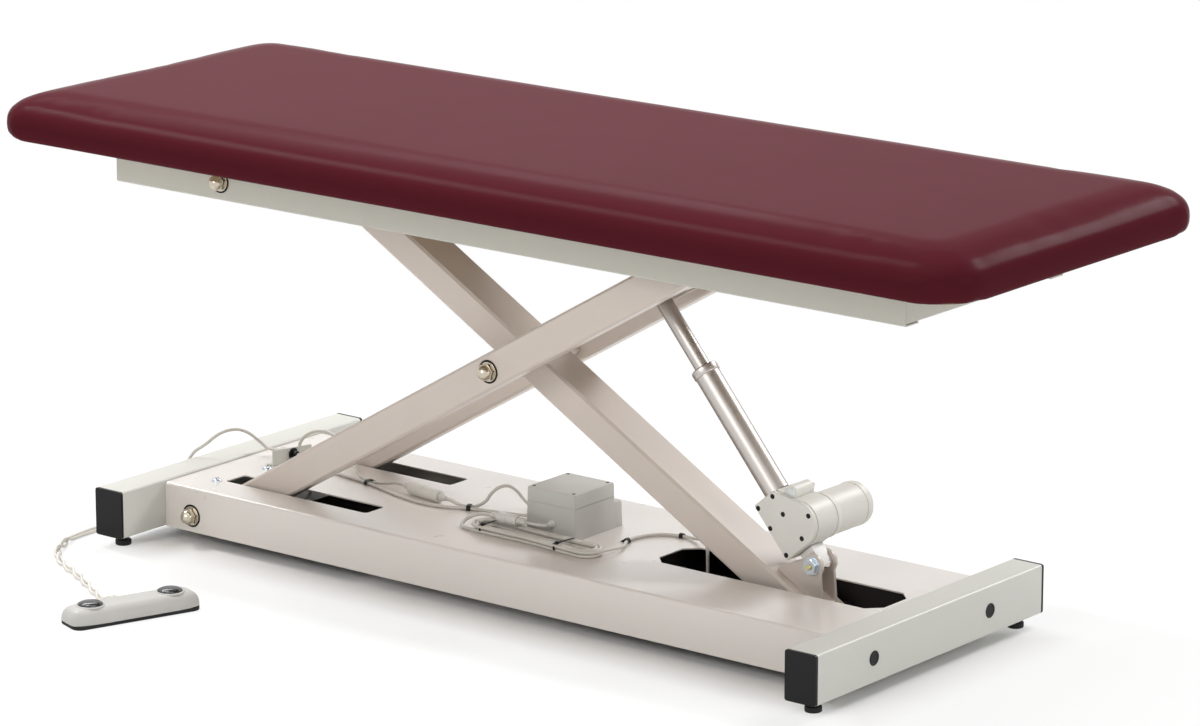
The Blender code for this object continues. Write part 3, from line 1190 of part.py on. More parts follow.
def build_arms(lift, scissor, finish):
    keep(outer_arm("outer_arm_near", -1), lift, finish["arm"])
    keep(outer_arm("outer_arm_far", 1), lift, finish["arm"])
    keep(rod_bracket(), lift, finish["arm"])
    keep(pivot_bolt("centre_bolt", CENTRE_X, CENTRE_Z, ARM_OUTER_Y), lift, finish["steel"])
    keep(acorn_nut("centre_nut", CENTRE_X, CENTRE_Z, ARM_OUTER_Y), lift, finish["nickel"])
    reach = TOP_ROLLER_Y + TOP_ROLLER_WIDTH + 2 * CLEARANCE
    keep(rod("top_axle", (UPPER_END_ALONG, 0, UPPER_END_BELOW), TOP_AXLE_RADIUS, -reach, reach, "Y", OUTER),
         lift, finish["steel"])
    keep(inner_arm(), scissor, finish["arm"])
    keep(actuator_ears(), scissor, finish["arm"])
    keep(base_axle(), scissor, finish["steel"])
    keep(lower_pin(), scissor, finish["zinc"])


def build_rollers(lift, scissor, finish):
    top = OUTER @ Vector((UPPER_END_ALONG, 0, UPPER_END_BELOW))
    low = INNER @ Vector((LOWER_END_ALONG, 0, LOWER_END_ABOVE))
    near = BEAM_WIDTH / 2 + BASE_ROLLER_GAP
    kinds = (("top_roller", lift, top, TOP_ROLLER_Y, TOP_ROLLER_WIDTH, TOP_ROLLER_RADIUS, TOP_AXLE_RADIUS),
             ("base_roller", scissor, low, near, BASE_ROLLER_WIDTH, BASE_ROLLER_RADIUS, BASE_AXLE_RADIUS))
    for name, parent, spot, inner, width, radius, axle in kinds:
        for side, label in ((-1, "near"), (1, "far")):
            start, end = sorted((side * inner, side * (inner + width)))
            wheel = roller(f"{name}_{label}", spot.x, spot.z, start, end, radius, axle + CLEARANCE)
            axis = empty_at(f"{name}_{label}_axis", spot, parent)
            keep(wheel, axis, finish["black"])


def build_top(level, finish):
    for side, label in ((-1, "near"), (1, "far")):
        keep(frame_rail("frame_rail_" + label, side), level, finish["frame"])
        keep(top_track("top_track_" + label, side), level, finish["steel"])
    keep(frame_end("frame_end_left", FRAME_LEFT, 1), level, finish["frame"])
    keep(frame_end("frame_end_right", FRAME_RIGHT, -1), level, finish["frame"])
    keep(pivot_bolt("top_pivot_bolt", TOP_PIVOT_X, TOP_PIVOT_Z, FRAME_HALF_WIDTH), level, finish["steel"])
    keep(acorn_nut("top_pivot_nut", TOP_PIVOT_X, TOP_PIVOT_Z, FRAME_HALF_WIDTH), level, finish["nickel"])
    keep(pad_board(), level, finish["board"])
    keep(cushion(), level, finish["vinyl"])


def build_actuator(tilt, stroke, finish):
    keep(gearbox_housing(), tilt, finish["grey"])
    keep(gearbox_cover(), tilt, finish["grey"])
    keep(motor_housing(), tilt, finish["grey"])
    keep(actuator_tube(), tilt, finish["steel"])
    keep(rear_clevis(), tilt, finish["zinc"])
    lead = cable("motor_lead", smooth_route(MOTOR_LEAD_ROUTE, CABLE_STEP), TUBE_RESOLUTION, CABLE_RADIUS)
    keep(lead, tilt, finish["cable"])
    keep(actuator_rod(), stroke, finish["steel"])
    pin_half = BRACKET_EAR_Y - CLEARANCE
    keep(rod("rod_pin", (DRIVE_LENGTH, 0, 0), ROD_PIN_RADIUS, -pin_half, pin_half, "Y", DRIVE), stroke,
         finish["steel"])


def make_materials():
    return {
        "frame": material("frame_paint", (0.74, 0.77, 0.74), 0.4),
        "arm": material("arm_paint", (0.72, 0.68, 0.60), 0.4),
        "black": material("black_plastic", (0.03, 0.03, 0.03), 0.5),
        "steel": material("bright_steel", (0.62, 0.62, 0.62), 0.3, 1.0),
        "nickel": material("nickel", (0.70, 0.69, 0.66), 0.2, 1.0),
        "zinc": material("yellow_zinc", (0.68, 0.58, 0.36), 0.35, 1.0),
        "grey": material("light_grey_plastic", (0.66, 0.67, 0.66), 0.5),
        "cable": material("cable_sheath", (0.78, 0.76, 0.70), 0.55),
        "board": material("board", (0.45, 0.34, 0.22), 0.8),
        "vinyl": material("burgundy_vinyl", (0.20, 0.03, 0.05), 0.45),
    }


def shift_pieces(pieces, shift):
    for piece in pieces:
        if not piece.parent:
            piece.location = piece.location + shift
    bpy.context.view_layer.update()


def build():
    finish = make_materials()
    root = empty_at("base", (0, 0, 0))
    lift = empty_at("lift_axis", (BASE_PIVOT_X, 0, PIVOT_Z), root)
    scissor = empty_at("scissor_axis", (CENTRE_X, 0, CENTRE_Z), root)
    level = empty_at("level_axis", (TOP_PIVOT_X, 0, TOP_PIVOT_Z), root)
    tilt = empty_at("actuator_axis", LOWER_PIN, root)
    stroke = empty_at("stroke_axis", ROD_PIN, root)
    build_base(root, finish)
    build_cables(root, finish)
    build_control(root, finish)
    build_arms(lift, scissor, finish)
    build_rollers(lift, scissor, finish)
    build_top(level, finish)
    build_actuator(tilt, stroke, finish)
    for name, x in (("left", -BAR_WIDTH / 2), ("right", BASE_LENGTH + BAR_WIDTH / 2)):
        for side, label in ((-1, "near"), (1, "far")):
            y = side * (BAR_SPAN / 2 - FOOT_FROM_END)
            axis = empty_at(f"foot_{name}_{label}_axis", (x, y, 0), root)
            keep(levelling_foot(f"foot_{name}_{label}", x, y), axis, finish["black"])
    turn = math.radians(CONTROL_TURN)
    near_y = CONTROL_CENTRE[1] - (CONTROL_LENGTH / 2 - CONTROL_CORNER) * math.cos(turn) \
        - (CONTROL_WIDTH / 2 - CONTROL_CORNER) * math.sin(turn) - CONTROL_CORNER
    middle = Vector((-PAD_CENTRE_X, -(near_y + PAD_HALF_WIDTH) / 2, 0))
    shift_pieces(list(PARTS.objects) + list(CUTTERS.objects), middle)


empty_scene()
PARTS = collection("scissor_lift_table")
CUTTERS = collection("cutters")
build()
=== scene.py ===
"""Looks of the treatment table: camera, light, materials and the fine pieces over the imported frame."""
import json
import math

import bmesh
import bpy
from mathutils import Matrix, Vector, noise


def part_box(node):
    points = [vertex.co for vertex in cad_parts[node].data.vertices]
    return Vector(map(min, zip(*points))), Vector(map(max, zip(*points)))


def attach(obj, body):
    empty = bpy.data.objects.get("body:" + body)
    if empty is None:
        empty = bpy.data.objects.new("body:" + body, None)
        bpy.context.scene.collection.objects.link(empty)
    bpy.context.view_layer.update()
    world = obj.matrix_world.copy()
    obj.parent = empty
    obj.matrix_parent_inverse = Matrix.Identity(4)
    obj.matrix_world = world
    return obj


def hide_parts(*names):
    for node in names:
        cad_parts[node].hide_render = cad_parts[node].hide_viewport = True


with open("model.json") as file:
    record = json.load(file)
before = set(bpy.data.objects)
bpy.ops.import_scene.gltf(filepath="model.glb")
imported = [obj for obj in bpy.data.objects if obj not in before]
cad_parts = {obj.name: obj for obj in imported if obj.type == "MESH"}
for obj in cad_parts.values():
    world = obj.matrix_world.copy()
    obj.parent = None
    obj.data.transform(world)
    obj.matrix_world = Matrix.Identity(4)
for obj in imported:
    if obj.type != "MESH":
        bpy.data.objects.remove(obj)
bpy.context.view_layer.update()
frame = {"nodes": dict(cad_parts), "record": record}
NODES = frame["nodes"]

# The drawing frame of the part, whose X starts at the left bar's inner face
SHIFT = Vector((-0.7178, 0.163482, 0))
BASE = Matrix.Translation(SHIFT)
QUARTER = math.pi / 2
moved = Matrix.Translation


def spun(axis, angle):
    return Matrix.Rotation(angle, 4, axis)


def frame_at(x, z, turn):
    """A frame in the drawing's XZ plane, with its X axis raised by the turn."""
    return BASE @ moved((x, 0, z)) @ spun("Y", -turn)


# The scissor and the drive as they stand at rest
PIVOT_X, PIVOT_Z = 0.059, 0.0481
LOWER_REACH = 0.6698
ARM_TURN = math.radians(30.3)
LOWER_TURN = math.radians(29.3)
CENTRE_X = PIVOT_X + LOWER_REACH * math.cos(LOWER_TURN)
CENTRE_Z = PIVOT_Z + LOWER_REACH * math.sin(LOWER_TURN)
LOWER_PIN = frame_at(CENTRE_X, CENTRE_Z, -ARM_TURN) @ Vector((0.608, 0, 0.075))
ROD_PIN = frame_at(CENTRE_X, CENTRE_Z, ARM_TURN) @ Vector((0.2823, 0, 0))
DRIVE_LENGTH = (ROD_PIN - LOWER_PIN).length
DRIVE_TURN = math.atan2(ROD_PIN.z - LOWER_PIN.z, ROD_PIN.x - LOWER_PIN.x)
DRIVE = frame_at(LOWER_PIN.x - SHIFT.x, LOWER_PIN.z, DRIVE_TURN)
ALONG_DRIVE = DRIVE @ spun("Y", QUARTER)
CONTROL = BASE @ moved((0.258, -0.556, 0)) @ spun("Z", math.radians(70))
NEAR = (0, -1, 0)

# Cables and the deck they lie on
DECK = 0.0962
CABLE_RADIUS = 0.00275
CABLE_STEP = 0.016
CORD_STEP = 0.0145
GAP = 0.0003
DECK_LIE = DECK + GAP + CABLE_RADIUS

# The camera, fitted to the photo
PHOTO_WIDTH = 1200
FOCAL_PIXELS = 5247.334
SENSOR_WIDTH = 36
CAMERA_PLACE = (5.08332, -6.17618, 2.48229)
CAMERA_DIP = 14.5282
CAMERA_HEADING = 38.4403


def fill(thing, **values):
    """Gives a thing its settings, and a node its inputs, by name."""
    for key, value in values.items():
        if hasattr(thing, key):
            setattr(thing, key, value)
        else:
            thing.inputs[key.replace("_", " ")].default_value = value
    return thing


def linked(name, data):
    made = bpy.data.objects.new(name, data)
    bpy.context.scene.collection.objects.link(made)
    return made


def add_camera():
    lens = FOCAL_PIXELS / PHOTO_WIDTH * SENSOR_WIDTH
    data = fill(bpy.data.cameras.new("camera"), sensor_width=SENSOR_WIDTH, lens=lens, clip_end=100)
    turn = (math.radians(90 - CAMERA_DIP), 0, math.radians(CAMERA_HEADING))
    bpy.context.scene.camera = fill(linked("camera", data), location=CAMERA_PLACE, rotation_euler=turn)



# Node helpers
class Finish:
    """A material with object coordinates and short calls for its nodes."""

    def __init__(self, name, colour, roughness, metallic=0, specular=0.5):
        self.material = bpy.data.materials.new(name + "_look")
        self.material.use_nodes = True
        self.material.diffuse_color = (*colour, 1)
        self.colour = colour
        self.tree = self.material.node_tree
        self.shader = fill(self.tree.nodes["Principled BSDF"], Base_Color=(*colour, 1), Roughness=roughness,
                Metallic=metallic, Specular_IOR_Level=specular)
        self.place = self.node("ShaderNodeTexCoord").outputs["Object"]

    def node(self, kind, **values):
        return fill(self.tree.nodes.new(kind), **values)

    def link(self, output, target):
        self.tree.links.new(output, target)

    def noise(self, scale, detail=3, rough=0.5, stretch=None):
        made = self.node("ShaderNodeTexNoise", Scale=scale, Detail=detail, Roughness=rough)
        place = self.place
        if stretch:
            mapping = self.node("ShaderNodeMapping", Scale=stretch)
            self.link(place, mapping.inputs["Vector"])
            place = mapping.outputs["Vector"]
        self.link(place, made.inputs["Vector"])
        return made.outputs["Fac"]

    def cells(self, scale, feature="F1"):
        made = self.node("ShaderNodeTexVoronoi", feature=feature, Scale=scale)
        self.link(self.place, made.inputs["Vector"])
        return made.outputs["Distance"]

    def spread(self, value, low, high, new_low=0, new_high=1):
        made = self.node("ShaderNodeMapRange", From_Min=low, From_Max=high, To_Min=new_low, To_Max=new_high)
        self.link(value, made.inputs["Value"])
        return made.outputs["Result"]

    def math(self, operation, a, b):
        made = self.node("ShaderNodeMath", operation=operation)
        for value, target in zip((a, b), made.inputs):
            if isinstance(value, (int, float)):
                target.default_value = value
            else:
                self.link(value, target)
        return made.outputs[0]

    def tint(self, mask, other, strength):
        """Mixes the colour towards another where the mask is high."""
        mix = self.node("ShaderNodeMix", data_type="RGBA", B=(*other, 1))
        base = self.shader.inputs["Base Color"]
        if base.is_linked:
            self.link(base.links[0].from_socket, mix.inputs["A"])
        else:
            mix.inputs["A"].default_value = tuple(base.default_value)
        self.link(self.math("MULTIPLY", mask, strength), mix.inputs["Factor"])
        self.link(mix.outputs["Result"], base)

    def mottle(self, scale, detail, low, high, factor, strength):
        """Shades the colour by a factor where a noise is high."""
        self.tint(self.spread(self.noise(scale, detail), low, high), shade(self.colour, factor), strength)

    def uneven(self, value, low, high):
        self.link(self.spread(value, 0, 1, low, high), self.shader.inputs["Roughness"])

    def bump(self, value, strength, distance):
        made = self.node("ShaderNodeBump", Strength=strength, Distance=distance)
        self.link(value, made.inputs["Height"])
        self.link(made.outputs["Normal"], self.shader.inputs["Normal"])


def shade(colour, factor):
    return tuple(min(1, c * factor) for c in colour)


def paint(name, colour, rough, specular=0.45, coat=0):
    """Powder coat: faint orange peel, slow tone changes and a little handling dullness."""
    made = Finish(name, colour, rough, specular=specular)
    fill(made.shader, Coat_Weight=coat, Coat_Roughness=0.3)
    made.mottle(3.2, 2, 0, 1, 0.96, 0.5)
    made.mottle(60, 4, 0, 1, 1.03, 0.3)
    made.uneven(made.noise(7, 4), rough - 0.02, rough + 0.02)
    made.bump(made.noise(420, 2), 0.05, 0.0002)
    return made.material


def moulded(name, colour, rough, grain=0.12, specular=0.5):
    """Moulded plastic: a fine spark-eroded texture and slight flow marks."""
    made = Finish(name, colour, rough, specular=specular)
    made.mottle(14, 3, 0.4, 0.7, 0.93, 0.6)
    made.uneven(made.noise(40, 3), rough - 0.05, rough + 0.07)
    made.bump(made.noise(1400, 2), grain, 0.00025)
    return made.material


def metal(name, colour, low, high):
    """Plated or turned metal: a fine unevenness and slow tone changes."""
    made = Finish(name, colour, (low + high) / 2, 1)
    lines = made.noise(300, 3, 0.6)
    made.uneven(lines, low, high)
    made.mottle(18, 2, 0.45, 0.75, 0.86, 0.5)
    made.bump(lines, 0.02, 0.0001)
    return made.material


def satin(name, colour):
    """Smooth drawn tube: slow tone changes only."""
    made = Finish(name, colour, 0.36, 1)
    fill(made.shader, Specular_Tint=(0.42, 0.4, 0.38, 1))
    made.mottle(5, 1, 0.35, 0.75, 0.9, 0.5)
    made.uneven(made.noise(7, 1), 0.35, 0.38)
    return made.material


def vinyl(name, colour):
    """Upholstery vinyl: pebbled grain with painted shade in its crease lines and slow tone changes."""
    made = Finish(name, colour, 0.25, specular=0.006)
    made.mottle(2.2, 2, 0.1, 0.9, 0.86, 0.6)
    made.mottle(16, 3, 0.2, 1, 1.1, 0.25)
    # The grain's crease lines made a little darker: painted shade
    crease_shade = made.spread(made.cells(300, "DISTANCE_TO_EDGE"), 0, 0.05, 1, 0)
    made.tint(crease_shade, shade(colour, 0.9), 0.08)
    made.uneven(made.noise(9, 3), 0.23, 0.28)
    made.bump(made.spread(made.cells(620), 0, 0.9), 0.05, 0.0002)
    return made.material


def plywood(name, colour):
    made = Finish(name, colour, 0.6)
    rings = made.noise(26, 5, 0.6, (1, 9, 9))
    made.tint(made.spread(rings, 0.4, 0.7), shade(colour, 0.7), 0.8)
    made.bump(rings, 0.15, 0.0006)
    return made.material


def sheath(name, colour):
    made = Finish(name, colour, 0.42)
    made.mottle(22, 3, 0.45, 0.75, 0.84, 0.7)
    made.uneven(made.noise(60, 2), 0.36, 0.5)
    made.bump(made.noise(900, 2), 0.1, 0.0002)
    return made.material


LOOKS = {look.name.removesuffix("_look"): look for look in (
    paint("frame_paint", (0.65, 0.65, 0.605), 0.34),
    paint("arm_paint", (0.66, 0.585, 0.53), 0.34),
    moulded("black_plastic", (0.009, 0.009, 0.01), 0.36, 0.12, 0.2),
    metal("bright_steel", (0.7, 0.68, 0.66), 0.14, 0.24),
    metal("nickel", (0.6, 0.54, 0.44), 0.16, 0.26),
    metal("yellow_zinc", (0.66, 0.62, 0.3), 0.24, 0.36),
    moulded("light_grey_plastic", (0.76, 0.745, 0.7), 0.44),
    sheath("cable_sheath", (0.66, 0.635, 0.585)),
    plywood("board", (0.42, 0.31, 0.2)),
    vinyl("burgundy_vinyl", (0.078, 0.0112, 0.0172)),
)}
# A lighter copy of the arm paint for the tray: painted light, so the deck under the pad reads bright
LIT_TRAY_PAINT = paint("lit_tray_paint", (0.75, 0.7, 0.655), 0.28, 0.5, 1)
# The frame paint made darker for the rails and end rails: painted shade from the pad above them
SHADED_RAIL_PAINT = paint("shaded_rail_paint", (0.53, 0.525, 0.475), 0.36)
# Near-black steel for dark screws and washers, and painted shade on the pans, the base track and the screw
# recesses
DARK_STEEL_AND_SHADE = paint("dark_steel_and_shade", (0.016, 0.014, 0.013), 0.6, 0.2)

# A look with the name of a material slot
PALE = (LOOKS["light_grey_plastic"], "light_grey_plastic")
BLACK = (LOOKS["black_plastic"], "black_plastic")
SHEATH = (LOOKS["cable_sheath"], "cable_sheath")
WHITE_PLASTIC = (moulded("white_plastic", (0.5, 0.492, 0.47), 0.4, 0.06, 0.3), PALE[1])
BOX_PLASTIC = (moulded("box_plastic", (0.56, 0.55, 0.52), 0.46), PALE[1])
BUTTON_GREY = (moulded("grey_button", (0.76, 0.79, 0.8), 0.3, 0.05), PALE[1])
GLOSS_BLACK = (moulded("gloss_black", (0.012, 0.012, 0.016), 0.13, 0.02, 0.6), BLACK[1])
RUBBER = (moulded("rubber", (0.012, 0.012, 0.013), 0.62, 0.25, 0.3), BLACK[1])
ZINC = (metal("zinc", (0.6, 0.66, 0.72), 0.18, 0.3), "bright_steel")
TUBE_STEEL = (satin("tube_steel", (0.56, 0.525, 0.5)), "bright_steel")


# Mesh helpers
def declared(piece, body, look, slot=None, node=None):
    """Gives a piece its look, says what it rides on and hides the node it replaces; its slot is not used."""
    piece.data.materials.append(look)
    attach(piece, body)
    if node:
        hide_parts(node)
    return piece


def solid(name, shape):
    bmesh.ops.recalc_face_normals(shape, faces=shape.faces)
    mesh = bpy.data.meshes.new(name)
    shape.to_mesh(mesh)
    shape.free()
    return linked(name, mesh)


def placed(name, shape, body, look, slot=None, node=None, matrix=None, sharp=30):
    piece = solid(name, shape)
    piece.data.shade_smooth()
    piece.data.set_sharp_from_angle(angle=math.radians(sharp))
    if matrix is not None:
        piece.matrix_world = matrix
    return declared(piece, body, look, slot, node)


def turned(name, profile, matrix, steps, body, look, slot=None, node=None, sharp=30):
    """A piece of one turned shape."""
    return placed(name, lathe(bmesh.new(), profile, matrix, steps), body, look, slot, node, None, sharp)


def apply_modifiers(piece):
    graph = bpy.context.evaluated_depsgraph_get()
    mesh = bpy.data.meshes.new_from_object(piece.evaluated_get(graph))
    old = piece.data
    piece.modifiers.clear()
    piece.data = mesh
    bpy.data.meshes.remove(old)


def modify(piece, kind, **values):
    fill(piece.modifiers.new(kind.lower(), kind), **values)
    return piece


def rounded(piece, width, segments, angle=30):
    return modify(piece, "BEVEL", width=width, segments=segments, limit_method="ANGLE",
            angle_limit=math.radians(angle))


def skin(shape, rings, capped=True):
    """Faces between rings of equal length, and over both ends."""
    for lower, upper in zip(rings, rings[1:]):
        for i in range(len(lower)):
            j = (i + 1) % len(lower)
            shape.faces.new((lower[i], lower[j], upper[j], upper[i]))
    if capped:
        shape.faces.new(rings[0][::-1])
        shape.faces.new(rings[-1])
    return shape


def ring_of(shape, points, matrix=Matrix.Identity(4)):
    return [shape.verts.new(matrix @ Vector(point)) for point in points]


def level_ring(shape, outline, z, matrix=Matrix.Identity(4)):
    return ring_of(shape, [(x, y, z) for x, y in outline], matrix)


def around(steps):
    """The cosine and sine at even steps of one turn."""
    turns = [2 * math.pi * i / steps for i in range(steps)]
    return [(math.cos(turn), math.sin(turn)) for turn in turns]


def swelled(value, power):
    return math.copysign(abs(value) ** power, value)


def lathe(shape, profile, matrix, steps):
    """Turns (radius, height) points about Z, adding to the shape."""
    rings = []
    for radius, height in profile:
        spots = around(steps) if radius else [(0, 0)]
        rings.append(level_ring(shape, [(radius * c, radius * s) for c, s in spots], height, matrix))
    for lower, upper in zip(rings, rings[1:]):
        for i in range(steps):
            j = (i + 1) % steps
            m, n = len(lower), len(upper)
            spots = list(dict.fromkeys((lower[i % m], lower[j % m], upper[j % n], upper[i % n])))
            if len(spots) > 2:
                shape.faces.new(spots)
    return shape


def arc(centre, radius, start, end, steps):
    """Points of an arc about a centre, from one angle in degrees to another."""
    angles = [math.radians(start + (end - start) * i / steps) for i in range(steps + 1)]
    return [(centre[0] + radius * math.cos(angle), centre[1] + radius * math.sin(angle)) for angle in angles]


def rectangle(x0, x1, y0, y1, corner, steps):
    """Points round a rectangle with rounded corners."""
    points = []
    for x, y, start in ((x1 - corner, y1 - corner, 0), (x0 + corner, y1 - corner, 90),
            (x0 + corner, y0 + corner, 180), (x1 - corner, y0 + corner, 270)):
        points += arc((x, y), corner, start, start + 90, steps)
    return points


def prism(shape, outline, low, high, matrix):
    """A straight solid with its outline in local XZ and its thickness along local Y."""
    return skin(shape, [ring_of(shape, [(x, y, z) for x, z in outline], matrix) for y in (low, high)])


def hexagon(shape, radius, turn, low, high, matrix):
    """A hexagonal solid about local Z."""
    corners = arc((0, 0), radius, turn, turn + 360, 6)[:6]
    return skin(shape, [level_ring(shape, corners, z, matrix) for z in (low, high)])


def washer(radius, rim, low, high):
    """The turned profile of a disc with a soft rim."""
    return [(0, low), (radius, low), (radius + rim, (low + high) / 2), (radius, high), (0, high)]


def sunk(radius, rim, top):
    """The turned profile of a low disc that goes down into the face under it."""
    return [(0, top), (radius, top), (radius + rim, 0), (radius + rim, -0.0015), (0, -0.0015)]


def at(x, y, z):
    return Vector((x, y, z)) + SHIFT


def facing(place, direction):
    return moved(place) @ Vector(direction).to_track_quat("Z", "Y").to_matrix().to_4x4()


# Cables and cords, on the same routes as their solids
SOCKET_ROUTE = [
    (0.0784, 0.035, 0.108), (0.094, 0.035, 0.108), (0.108, 0.034, 0.106),
    (0.14, 0.027, DECK_LIE), (0.2, 0.012, DECK_LIE), (0.2755, -0.0005, DECK_LIE),
    (0.315, -0.011, DECK_LIE), (0.355, -0.023, DECK_LIE), (0.42, -0.035, DECK_LIE),
    (0.462, -0.031, DECK_LIE), (0.503, -0.014, DECK_LIE), (0.56, 0, DECK_LIE),
    (0.61, 0.011, 0.101), (0.64, 0.015, 0.106), (0.6547, 0.015, 0.1065),
]
LINK_ROUTE = [
    (0.058, 0.074, 0.0965), (0.058, 0.074, 0.108), (0.064, 0.0745, 0.122),
    (0.078, 0.0755, 0.134), (0.098, 0.0775, 0.142), (0.128, 0.077, 0.143),
    (0.17, 0.063, 0.133), (0.212, 0.038, 0.113), (0.242, 0.02, 0.101),
    (0.2755, 0.008, DECK_LIE), (0.308, 0.008, 0.1025), (0.333, 0.00846, 0.1075),
    (0.353, 0.005, 0.1075), (0.405, -0.004, 0.1075), (0.457, -0.013, 0.1075),
    (0.474, -0.01594, 0.1065), (0.49, -0.011, 0.101), (0.503, -0.004, DECK_LIE),
    (0.518, 0.009, 0.105), (0.531, 0.023, 0.127), (0.544, 0.037, 0.134),
    (0.557, 0.049, 0.124), (0.572, 0.057, 0.104), (0.605, 0.054, DECK_LIE),
    (0.635, 0.046, 0.104), (0.6547, 0.045, 0.1065),
]
MOTOR_ROUTE_IN = [
    (0.71, -0.0498, 0.1185), (0.71, -0.06, 0.1185), (0.704, -0.0675, 0.1185),
    (0.688, -0.07, 0.1185), (0.672, -0.07, 0.1185), (0.636, -0.07, 0.1185),
    (0.6, -0.07, 0.1185), (0.58, -0.071, 0.117), (0.564, -0.077, 0.111),
    (0.556, -0.087, 0.103), (0.562, -0.098, 0.0998),
]
MOTOR_ROUTE_OUT = [
    (0.844, -0.048, 0.103), (0.836, -0.022, DECK_LIE), (0.824, 0.001, DECK_LIE),
    (0.825, 0.032, DECK_LIE), (0.842, 0.062, DECK_LIE), (0.876, 0.077, DECK_LIE),
    (0.906, 0.074, 0.101), (0.929, 0.064, 0.107), (0.945, 0.052, 0.1075),
    (0.952, 0.045, 0.096), (0.953, 0.0445, 0.076), (0.953, 0.0445, 0.046),
]
MOTOR_LEAD_ROUTE = [
    (1.1637, 0.0253, 0.2445), (1.1637, 0.037, 0.2445), (1.157, 0.047, 0.243),
    (1.143, 0.048, 0.232), (1.134, 0.0465, 0.205), (1.135, 0.0452, 0.165),
    (1.148, 0.045, 0.13), (1.162, 0.045, 0.1), (1.17, 0.045, 0.078),
]
FOOT_CORD_ROUTE = [
    (0.0349, 0.035, 0.108), (0.021, 0.035, 0.108), (0.007, 0.025, 0.123),
    (0.001, 0.002, 0.141), (-0.004, -0.023, 0.149), (-0.018, -0.044, 0.143),
    (-0.038, -0.056, 0.124), (-0.057, -0.064, 0.109), (-0.069, -0.074, 0.084),
    (-0.074, -0.086, 0.05), (-0.078, -0.103, 0.02), (-0.085, -0.13, 0.0034),
    (-0.099, -0.185, 0.0034), (-0.11, -0.248, 0.0034),
]
RETURN_CORD_ROUTE = [
    (0.064, 0.074, 0.0933), (0.064, 0.074, 0.083), (0.079, 0.0745, 0.064),
    (0.085, 0.074, 0.04), (0.074, 0.066, 0.018), (0.046, 0.042, 0.006),
    (0.005, 0, 0.0034), (-0.046, -0.056, 0.0034), (-0.084, -0.092, 0.0034),
    (-0.107, -0.133, 0.0034), (-0.12, -0.188, 0.0034), (-0.124, -0.246, 0.0034),
]
TWIST_ROUTE = [
    (-0.111, -0.312, 0.0034), (-0.074, -0.379, 0.0034), (-0.024, -0.422, 0.0034),
    (0.04, -0.455, 0.0034), (0.11, -0.495, 0.0034), (0.164, -0.527, 0.0034),
]
HANK_CENTRE = (0.707, -0.083)
HANK_HALF_RUN = 0.106
HANK_HALF_WIDTH = 0.026
HANK_PITCH = 0.0068
HANK_TURNS = 4
HANK_RUN_STEPS = 4
HANK_BEND_STEPS = 8
HANK_TURN = math.radians(-3)


def spans(knots):
    """Neighbouring points with those before and after, where the ends are carried on straight."""
    ends = [knots[0] * 2 - knots[1]] + knots + [knots[-1] * 2 - knots[-2]]
    return zip(ends, ends[1:], ends[2:], ends[3:])


def between(b, c, leave, arrive, t):
    """A point of the cubic from b to c, kept from sagging below both."""
    spot = (b * (2 * t**3 - 3 * t**2 + 1) + leave * (t**3 - 2 * t**2 + t)
            + c * (3 * t**2 - 2 * t**3) + arrive * (t**3 - t**2))
    spot.z = max(spot.z, min(b.z, c.z))
    return spot


def smooth_route(route, step):
    """Points at even steps along one smooth curve through the given points."""
    knots = [Vector(point) for point in route]
    fine = [knots[0]]
    for a, b, c, d in spans(knots):
        ta, tb, tc = (math.sqrt((far - near).length) for near, far in ((a, b), (b, c), (c, d)))
        leave = ((b - a) / ta - (c - a) / (ta + tb) + (c - b) / tb) * tb
        arrive = ((c - b) / tb - (d - b) / (tb + tc) + (d - c) / tc) * tb
        fine += [between(b, c, leave, arrive, i / 24) for i in range(1, 25)]
    lengths = [0]
    for first, second in zip(fine, fine[1:]):
        lengths.append(lengths[-1] + (second - first).length)
    count = max(2, round(lengths[-1] / step))
    points = []
    index = 0
    for i in range(count + 1):
        target = lengths[-1] * i / count
        while index < len(lengths) - 2 and lengths[index + 1] < target:
            index += 1
        span = lengths[index + 1] - lengths[index]
        points.append(fine[index].lerp(fine[index + 1], (target - lengths[index]) / span))
    return points


def hank_points():
    """The folded cable: oval turns that spiral in on one layer and out again on the next."""
    turn = Matrix.Rotation(HANK_TURN, 3, "Z")
    per_turn = 2 * (HANK_RUN_STEPS + HANK_BEND_STEPS)
    deepest = HANK_TURNS / 2 - 1 / 4
    points = []
    for i in range(HANK_TURNS * per_turn + HANK_RUN_STEPS + HANK_BEND_STEPS // 2 + 1):
        turns = i / per_turn
        drawn = min(turns, HANK_TURNS - turns, deepest)
        half_width = HANK_HALF_WIDTH - HANK_PITCH * drawn
        climb = min(1, max(0, 2 * (turns - deepest)))
        step = i % per_turn
        side = 1 if step < per_turn / 2 else -1
        step = step % (per_turn // 2)
        if step < HANK_RUN_STEPS:
            x = HANK_HALF_RUN * (2 * step / HANK_RUN_STEPS - 1)
            y = 0.16 * HANK_HALF_WIDTH * math.cos(math.pi * x / (2 * HANK_HALF_RUN)) ** 2 - half_width
        else:
            swing = math.pi * (step - HANK_RUN_STEPS) / HANK_BEND_STEPS
            x = HANK_HALF_RUN + half_width * math.sin(swing)
            y = -half_width * math.cos(swing)
        spot = turn @ Vector((side * x, side * y, 0))
        points.append(Vector((*HANK_CENTRE, DECK_LIE + HANK_PITCH * climb)) + spot)
    return points


